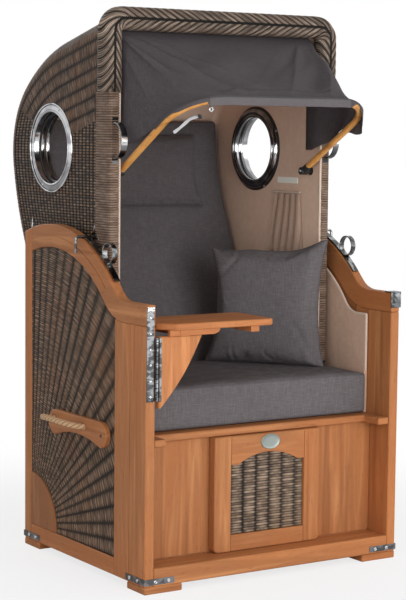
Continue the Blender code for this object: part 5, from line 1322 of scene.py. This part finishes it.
def awning_sheet():
    """One sheet from the hood's rim over the bow to its hem.

    point = hold + (over - hold) * v, sagging by sin(pi v), with folds that fan from the two upper corners, a
    long fold before the bow, then a turn over the bow and a hem that hangs below it
    """
    columns, rows, turns, drops = 250, 90, 8, 12
    u = curve(0, 1, columns)
    hold, away, bow, out = awning_lines(u)
    run_out, run_up = LINED_HALF - 0.0015 - AWNING_HALF, LINED_TOP - AWNING_TOP - 0.004
    tuck = away * [run_out, 0, run_up] + [0, 0.040, 0]
    clear = BOW_RADIUS + 0.0034
    top = bow + BOW_UP * clear
    v = curve(0, 1, rows)[:, None]
    sheet = hold[None] + (top - hold)[None] * v[..., None]
    tight = np.sin(np.pi * v)
    roof = smooth_step(away[:, 2], 0.3, 1.0)[None]
    sag = 0.011 * tight * roof + 0.006 * tight * (1 - roof)
    fold = np.zeros((rows, columns))
    corner = 0.248
    for place, lean, size, seed in ((corner, 1, 0.0180, 0.4), (1 - corner, -1, 0.0120, 2.1)):
        fan = lean * (u[None] - place) / (0.04 + 0.24 * v)
        reach = np.exp(-((fan - 0.25) ** 2) / 0.50) * tight**0.6 * smooth_step(v, 0.0, 0.15)
        crease = np.abs(np.sin(fan * 5.2 + seed + 0.7 * np.sin(3.1 * v)))
        fold += size * reach * (1 - 2 * crease**0.7) * (1 - 0.3 * v)
        fold += 0.0022 * reach * np.sin(fan * 17 + seed * 3 + 2 * np.sin(7 * v))
    fold += 0.0032 * np.sin(2 * np.pi * 6 * u + 2.2 * np.sin(np.pi * v) + 4 * v) * tight * roof
    fold += 0.0032 * np.sin(2 * np.pi * (3.5 * u + 2.1 * v) + 1.5 * np.sin(9 * u)) * tight * roof
    fold += 0.0030 * np.exp(-(((v - 0.90 - 0.02 * np.sin(9 * u)) / 0.030) ** 2)) * roof
    fold -= 0.0024 * np.exp(-(((v - 0.84 - 0.02 * np.sin(9 * u)) / 0.028) ** 2)) * roof
    direction = unit(away[None] * (1 - v[..., None]) + unit(out * 0.2 + BOW_UP)[None] * v[..., None])
    sheet = sheet + direction * (fold - sag)[..., None]
    spill = 0.026 * smooth_step(u, 0.64, 0.80)[None] * np.sin(np.pi * np.clip(v * 1.12, 0, 1)) ** 2
    sheet[..., 0] += spill
    angle = curve(np.pi / 2, 0, turns)[:-1, None, None]
    wrap = bow[None] + clear * (np.sin(angle) * BOW_UP + np.cos(angle) * out[None])
    ends, flap_drop, shortest = 0.19, 0.040, 0.0015
    flap = np.where(u > 1 - ends, flap_drop * np.sin(np.pi * np.clip((1 - u) / ends, 0, 1)) ** 1.2, 0)
    hem = shortest + 0.0065 * smooth_step(u, 0.09, 0.13) + 0.013 * (u > HEM_START)
    hem = np.maximum(hem - 0.016 * smooth_step(u, 0.755, 0.80), shortest) + flap
    h = curve(0, 1, drops)[:, None]
    ripple = (0.0012 * np.sin(u * 90) + 0.0022 * np.sin(u * 41 + 1)) * h**1.5
    down = bow[None] + clear * out[None] - [0, 0, 1] * (h * hem)[..., None]
    down = down + out[None] * (ripple * (0.3 + flap / flap_drop) + 0.0006)[..., None]
    grid = np.concatenate([(hold + tuck)[None], (hold + tuck * 0.45)[None], sheet[:-1], wrap, down])
    obj = make("awning_cloth", [patch(grid, flip=True)], AWNING_CLOTH, None, "grey_fabric", ["awning_fabric"])
    thicken(obj, 0.0012)
    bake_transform(obj)
    keep = (u > HEM_START) & (u < HEM_END)
    band = np.concatenate([wrap[2:], down])[:, keep] + out[None, keep] * 0.0012
    thicken(make("awning_hem_band", [patch(band, flip=True)], HEM_CLOTH, "awning", "grey_fabric"), 0.0010, 1)
    line = band[4] + out[keep] * 0.0012
    make("awning_hem_stitch", [sweep(line, 0.0006, 6)], SEAM, "awning", "grey_fabric")


def bent_bow():
    """The bow: an oval section swept up the left arm, round both corners and down the right arm."""
    *parts, _ = bent_line(BOW_HALF, 0.012, BOW_REACH, BOW_CORNER, 260)
    path, outward = on_bow(*parts)
    angle = circle(28)
    oval = stack(np.cos(angle), np.sin(angle))
    oval = np.sign(oval) * np.abs(oval) ** 0.75 * [0.0098, BOW_RADIUS]
    points = path[:, None] + oval[None, :, :1] * outward[:, None] + oval[None, :, 1:] * BOW_UP
    make("awning_bow_finished", [patch(capped(points), (False, True))], BOW_WOOD, "awning", "bow_wood",
         ["awning_bow"], sharp=50)
    sockets, bolts = [], []
    for side in SIDES.values():
        cap = [
            (0.0001, 0.3105), (0.0088, 0.3105), (0.0112, 0.3120), (0.0118, 0.3150), (0.0118, 0.3360),
            (0.0095, 0.3400), (0.0095, 0.3490), (0.0130, 0.3494), (0.0130, 0.3508), (0.0001, 0.3508),
        ]
        sockets.append(turned(np.array(cap) * [1, side], (0, *BOW_PIVOT), (1, 0, 0), 28, flip=side > 0))
        bolts.append(screw((side * 0.3106, *BOW_PIVOT), (-side, 0, 0), 0.0055, 0.0025))
    collar = np.array([path[-5] - BOW_FORWARD * 0.026, path[-5]])
    sockets.append(sweep(collar, [0.0110, 0.0104], 24, up=(0.9, 0.1, 0.2)))
    make("awning_bow_sockets", sockets, BLACK, "awning", "bow_wood", sharp=35)
    make("awning_bow_bolts", bolts, BRIGHT, "awning", "chrome")


def ties():
    """A flat tape from the bow's left arm toward the bar with a knot at its end, and an eyelet at the hem."""
    bends = np.array([
        (-0.3205, -0.400, 1.2590), (-0.300, -0.401, 1.2740), (-0.272, -0.401, 1.2930),
        (-0.250, -0.401, 1.3020), (-0.236, -0.400, 1.3055),
    ])
    t = curve(0, 4, 60)
    path = stack(*(np.interp(t, range(5), bends[:, i]) for i in range(3)))
    path[:, 2] -= 0.0015 * np.sin(t * 2)
    strip = sweep(path, 0.0043 + 0.0005 * np.sin(t * 5), 14, up=(0.4, -0.8, 0.4), flat=0.22)
    tape = make("awning_tape", [strip], STRAP, "awning", "grey_fabric")
    a = curve(0, 2 * np.pi, 90)
    knot = path[-3] + stack(0.0042 * np.sin(2 * a), 0.0040 * np.cos(a), 0.0042 * np.sin(3 * a))
    make("awning_tape_knot", [sweep(knot, 0.0024, 10)], BLACK, "awning", "grey_fabric")
    eye = np.array([-0.241, -0.4640, 1.3225])
    make("awning_eyelet", [ring(eye, (0, -1, 0.1), 0.0052, 0.0022, 40)], BRIGHT, "awning", "chrome")
    stem = np.array([eye + [0, 0.002, 0.0060], eye + [0, 0.001, 0.0190]])
    make("awning_eyelet_stem", [sweep(stem, 0.0016, 10, up=(1, 0, 0))], DARK_METAL, "awning", "chrome")


# Finishes of the nodes that stay

STAYING = [
    (SHADE_BACKING, "hood_shell hood_roof footrest_wicker"),
    (LIT_HOOD_BEIGE, "hood_lining"),
    (SHADED_TEAK, "rear_panel"),
    (PANEL_TEAK, "front_panel"),
    (CROSS_TEAK, "seat_board seat_front_rail front_bottom_rail rear_bottom_rail table_top"),
    (LIT_TEAK, "table_bracket"),
    (FRAMED_TEAK, "footrest_front"),
    (LONG_TEAK, "footrest_box"),
]
STAYING_BY_SIDE = [
    (UPRIGHT_TEAK, "front_stile rear_stile"),
    (LONG_TEAK, "bottom_rail top_rail rope_plate"),
    (SHADED_CORNER_TEAK, "corner_gusset"),
    (SHADE_BACKING, "wicker_panel"),
    (BEIGE_CLOTH, "side_lining"),
    (CROSS_TEAK, "front_foot rear_foot"),
    (STEEL, "front_band rear_band pivot_bracket"),
]
for prefix, groups in (("", STAYING), ("left_", STAYING_BY_SIDE), ("right_", STAYING_BY_SIDE)):
    for finish, names in groups:
        for name in names.split():
            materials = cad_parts[prefix + name].data.materials
            materials.clear()
            materials.append(finish)
for label in SIDES:
    eased_copy(label + "_recline_bar", CHROME, label + "_bar")
    eased_copy(label + "_bar_plate", CHROME, "hood")
    eased_copy(label + "_hood_handle", HANDLE_CHROME, "hood")
eased_copy("right_arm_cap", HINGE_METAL, "base", 0.0003)
bent_bow()
awning_sheet()
ties()


# Small parts and trims


def plate(centre, run, rise, out, thick, corner=1.0, rim=0.0):
    """A thin plate with an eased edge and, where rim is given, a bead round it.

    corner is 1 for an oval and 0.2 for nearly square.
    point = centre + share * (run * cos a ^ corner + rise * sin a ^ corner) + out * height(share)
    """
    centre, run, rise, out = (np.asarray(v, float) for v in (centre, run, rise, out))
    angle = circle(96)
    c, s = (np.sign(f) * np.abs(f) ** corner for f in (np.cos(angle), np.sin(angle)))
    share = np.array([1.0, 1.0, 0.992, 0.975, 0.95, 0.93, 0.90, 0.87, 0.84, 0.5, 0.0])
    height = np.array([0, 0.55, 0.8, 0.95, 1.0, 1.0, 1.0, 1.0, 1.0, 1.0, 1.0]) * thick
    height = height + rim * np.array([0, 0, 0.3, 0.8, 1.0, 1.0, 0.6, 0, -0.3, -0.3, -0.3])
    flat = c[None, :, None] * run + s[None, :, None] * rise
    points = centre + share[:, None, None] * flat + height[:, None, None] * out
    return patch(points, (False, True), flip=np.dot(np.cross(run, rise), out) > 0)


def arm_backing(side):
    """A rail behind each lining, under the arm: a four-cornered section along the arm's lower edge."""
    y = curve(-0.2830, 0.0600, 90)
    top, low = under_arm(y) + 0.0002, under_arm(y) - 0.040
    near, far = side * 0.4060, side * 0.4137
    corners = [stack(near, y, low), stack(near, y, top), stack(far, y, top), stack(far, y, low)]
    return patch(capped(np.stack(corners, 1)), (False, True), flip=side > 0)


def pocket():
    """A gathered pocket sewn to the right lining: folds hang from its top edge and spread as they fall.

    depth = 1.5 mm + (3 + 10 * fall ^ 0.8) mm * |sin(4.5 * pi * (lean + 0.06 * fall ^ 2))| ^ 0.8
    """
    fall = curve(0, 1, 70)[:, None]
    across = curve(0, 1, 120)[None]
    lean = across - 0.16 * fall * (1 - across) + 0.05 * np.sin(3 * fall + 2 * across)
    fold = np.abs(np.sin(np.pi * 4.5 * (lean + 0.06 * fall**2))) ** 0.8
    edge = smooth_step(across, 0, 0.05) * smooth_step(1 - across, 0, 0.05)
    depth = (0.003 + 0.010 * fall**0.8) * fold * edge + 0.0015
    y = -0.066 + 0.142 * across - 0.016 * fall * (1 - 2 * across)
    z = 1.076 - 0.190 * fall + 0.004 * np.sin(9 * across)
    cloth_side = patch(stack(LINED_HALF - 0.0012 - depth, y + 0 * fall, z))
    made = make("right_pocket", [cloth_side], POCKET_CLOTH, "hood", "beige_fabric")
    thicken(made, 0.0008)
    band = stack(LINED_HALF - 0.0050, curve(-0.068, 0.078, 60), 1.0765)
    make("right_pocket_band", [sweep(band, 0.0046, 12, flat=0.8)], PIPING_CLOTH, "hood", "beige_fabric")


def heads(name, places, axis, radius, proud, finish, body="base", slot="steel"):
    make(name, [screw(place, axis, radius, proud) for place in places], finish, body, slot)


def knuckles(first):
    """Every second knuckle of the hinge's barrel: short round bars with eased ends, one above the other."""
    low, high, count = 0.5340, 0.7080, 14
    step = (high - low) / count
    bars = []
    for number in range(first, count, 2):
        z = low + step * number
        foot, top = z + 0.0003, z + step - 0.0003
        profile = [(0.0, foot), (0.0046, foot), (0.0053, z + 0.0010), (0.0053, z + step - 0.0010),
                   (0.0046, top), (0.0, top)]
        bars.append(turned(profile, (-0.4050, -0.4614, 0), (0, 0, 1), 24, flip=True))
    return bars


def hinge():
    """Two narrow leaves with eased edges and the knuckles between them, a bright cap on top and screws."""
    ahead, middle = (0, -1, 0), -0.4222
    post = plate((middle, -0.4543, 0.6621), (0.0111, 0, 0), (0, 0, 0.1295), ahead, 0.0030, 0.05)
    swing = plate((-0.3962, -0.4637, 0.6210), (0.0034, 0, 0), (0, 0, 0.0870), ahead, 0.0026, 0.05)
    for body, leaf, first in (("base", post, 0), ("table", swing, 1)):
        part = "post" if body == "base" else body
        make(f"hinge_{part}_finished", [leaf, *knuckles(first)], HINGE_METAL, body, "chrome",
             [f"hinge_{part}_leaf"], sharp=35)
    cap = plate((middle, -0.4572, 0.7856), (0.0108, 0, 0), (0, 0, 0.0058), ahead, 0.0026, 0.12)
    make("hinge_cap", [cap], BRIGHT, "base", "chrome", sharp=35)
    places = [(middle, -0.4573, z) for z in (0.547, 0.590, 0.633, 0.676, 0.719, 0.762)]
    heads("hinge_post_screws", places, ahead, 0.0040, 0.0018, BRIGHT, "base", "chrome")


def table_batten():
    """A short board under the table's front edge: its free end rounds up to the top by a quarter ellipse."""
    left, right, low, high, front, rear, end = -0.3700, -0.2080, 0.7104, 0.7268, -0.4725, -0.4600, 0.024
    turn = curve(0, np.pi / 2, 14)
    x = np.concatenate([[left], right - end * (1 - np.cos(turn)), [left]])
    z = np.concatenate([[high], high - (high - low) * np.sin(turn), [low]])
    rings = np.stack([stack(x, y, z) for y in (front, rear)])
    batten = patch(capped(rings), (False, True), flip=True)
    make("table_front_batten", [batten], CROSS_TEAK, "table", "teak", sharp=30)


make("footrest_weave", [inset_skin()], INSET_WICKER, "footrest", "wicker")
oval = plate((0.018, -0.3949, 0.3790), (0.0325, 0, 0), (0, 0, 0.0222), (0, -1, 0), 0.0022, 1.0, 0.0007)
make("footrest_medallion", [oval], PLATE, "footrest", "steel", merge=1e-7)
strip = plate((LINED_HALF - 0.0002, 0.0065, 1.1135), (0, 0.0545, 0), (0, 0, 0.0095), (-1, 0, 0), 0.0012, 0.16)
make("right_label_plate", [strip], LABEL, "hood", "steel", merge=1e-7)
pocket()

PIN = np.array([(0.4200, 0.2430, 0.950), (0.4200, 0.2425, 0.972), (0.4200, 0.2410, 0.998)])
LINING_TRIM, BAND_HEIGHT, BAND_FACE = 0.3972, 0.0345, 0.4369
BAND_SCREWS = (0.036, 0.078)
for label, side in SIDES.items():
    make(label + "_arm_backing", [arm_backing(side)], DEEP_SHADE_TEAK, "base", "teak", sharp=30)
    z = curve(0.576, BRAID_LOW - 0.002, 120)
    edge = sweep(stack(side * (LINED_HALF + 0.0016), HOOD_FRONT + 0.0006, z), 0.0040, 12, up=(0, 1, 0))
    make(label + "_hood_piping", [edge], PIPING_CLOTH, "hood", "beige_fabric")
    y = curve(-0.3445, 0.0035, 160)
    run = stack(side * LINING_TRIM, y, lining_line(y) + 0.0006)
    drop = stack(side * LINING_TRIM, -0.3456, curve(PILLOW_FOOT, 0.7185, 60))
    edge = sweep(np.vstack([drop, run]), 0.0038, 12, up=(side, 0, 0))
    make(label + "_lining_piping", [edge], PIPING_CLOTH, "base", "beige_fabric")
    for end, face, sign in (("front", -0.4558, -1), ("rear", 0.2640, 1)):
        along = [(side * (BAND_FACE - d), face, BAND_HEIGHT) for d in BAND_SCREWS]
        beside = [(side * BAND_FACE, face - sign * d, BAND_HEIGHT) for d in BAND_SCREWS]
        heads(f"{label}_{end}_band_screws", along, (0, sign, 0), 0.0058, 0.0034, BRIGHT)
        heads(f"{label}_{end}_band_side_screws", beside, (side, 0, 0), 0.0058, 0.0034, BRIGHT)
    bolts = [(side * 0.4473, y, 0.4090) for y in (-0.2305, 0.0567)]
    heads(label + "_rope_plate_screws", bolts, (side, 0, 0), 0.0046, 0.0022, DARK_METAL)
    make(label + "_stop_pin", [sweep(PIN * [side, 1, 1], 0.0017, 10, up=(1, 0, 0))], BRIGHT, "base", "chrome")
hinge()
table_batten()
bead = stack(curve(-0.4044, 0.4044, 60), -0.3642, 0.0712)
make("front_panel_bead", [sweep(bead, 0.0021, 10)], DEEP_SHADE_TEAK, "base", "teak")


# Room, lights and camera


def aimed(name, data, place, look, roll=0.0):
    """Puts a lamp or camera at a place so that it looks along a direction."""
    right = unit(np.cross(look, [0, 0, 1]))
    up = np.cross(right, look)
    right, up = right * np.cos(roll) + up * np.sin(roll), up * np.cos(roll) - right * np.sin(roll)
    turn = Matrix((right, up, -look)).transposed().to_4x4()
    turn.translation = place
    obj = placed(name, data)
    obj.matrix_world = turn
    return obj


def floor():
    """A pale floor that keeps its shadows near the chair and fades to white round it, for the camera only."""
    reach = 9.0
    ground = bpy.data.meshes.new("floor")
    corners = [(-reach, -reach, 0), (reach, -reach, 0), (reach, reach, 0), (-reach, reach, 0)]
    ground.from_pydata(corners, [], [(0, 1, 2, 3)])
    pale = Finish("floor_pale", 0.95)
    pale.colour(pale.mix(pale.noise(pale.place(), 3, 2) * 0.1, (0.88, 0.88, 0.88), (0.84, 0.84, 0.84)))
    away = pale.node("ShaderNodeVectorMath", {"operation": "LENGTH"}, {0: pale.place()}, "Value")
    seen = pale.node("ShaderNodeLightPath", {}, {}, "Is Camera Ray")
    share = (away.between(0.75, 1.9) * 0.25 + 0.75) * seen
    glow = pale.tree.nodes.new("ShaderNodeEmission")
    both = pale.node("ShaderNodeMixShader", {}, {0: share})
    pale.tree.links.new(pale.shader.outputs[0], both.link.node.inputs[1])
    pale.tree.links.new(glow.outputs[0], both.link.node.inputs[2])
    pale.tree.links.new(both.link, pale.tree.nodes["Material Output"].inputs["Surface"])
    ground.materials.append(pale.material)
    placed("floor", ground)


def room():
    """White where the camera looks or a reflection shows the room, and dimmer as a light."""
    world = bpy.data.worlds.new("room")
    bpy.context.scene.world = world
    world.use_nodes = True
    tree = world.node_tree
    tree.nodes.clear()
    new, link = tree.nodes.new, tree.links.new
    out, mix, path = (new("ShaderNode" + kind) for kind in ("OutputWorld", "MixShader", "LightPath"))
    for socket, strength in ((1, 0.42), (2, 1.0)):
        sky = new("ShaderNodeBackground")
        sky.inputs["Color"].default_value = (1, 1, 1, 1)
        sky.inputs["Strength"].default_value = strength
        link(sky.outputs[0], mix.inputs[socket])
    total = path.outputs["Is Camera Ray"]
    for output in ("Is Glossy Ray", "Is Transmission Ray"):
        more = new("ShaderNodeMath")
        more.operation = "MAXIMUM"
        link(total, more.inputs[0])
        link(path.outputs[output], more.inputs[1])
        total = more.outputs[0]
    link(total, mix.inputs[0])
    link(mix.outputs[0], out.inputs[0])


def lamps():
    for name, place, aim, size, power in (
        ("front", (0.2, -4.6, 1.0), (0, 0, 0.95), 3.0, 150),
        ("left", (-3.4, -2.4, 1.7), (0, 0, 0.8), 2.4, 42),
        ("right", (2.9, -2.2, 1.8), (0, 0, 0.8), 2.4, 22),
        ("back", (0.4, 3.4, 2.6), (0, 0, 1.0), 2.6, 30),
    ):
        data = bpy.data.lights.new(name, "AREA")
        data.shape = "SQUARE"
        data.size = size
        data.energy = power
        aimed(name, data, place, unit(np.array(aim) - np.array(place)))


def camera():
    yaw, pitch, roll = 0.571, -0.0962, 0.0102
    look = np.array([np.sin(yaw) * np.cos(pitch), np.cos(yaw) * np.cos(pitch), np.sin(pitch)])
    data = bpy.data.cameras.new("camera")
    data.lens = 106.45
    data.sensor_fit = "VERTICAL"
    data.sensor_width = data.sensor_height = 36
    data.dof.use_dof = False
    bpy.context.scene.camera = aimed("camera", data, (-2.869, -4.5239, 1.270), look, roll)


floor()
room()
lamps()
camera()
bpy.context.scene.view_settings.view_transform = "Standard"
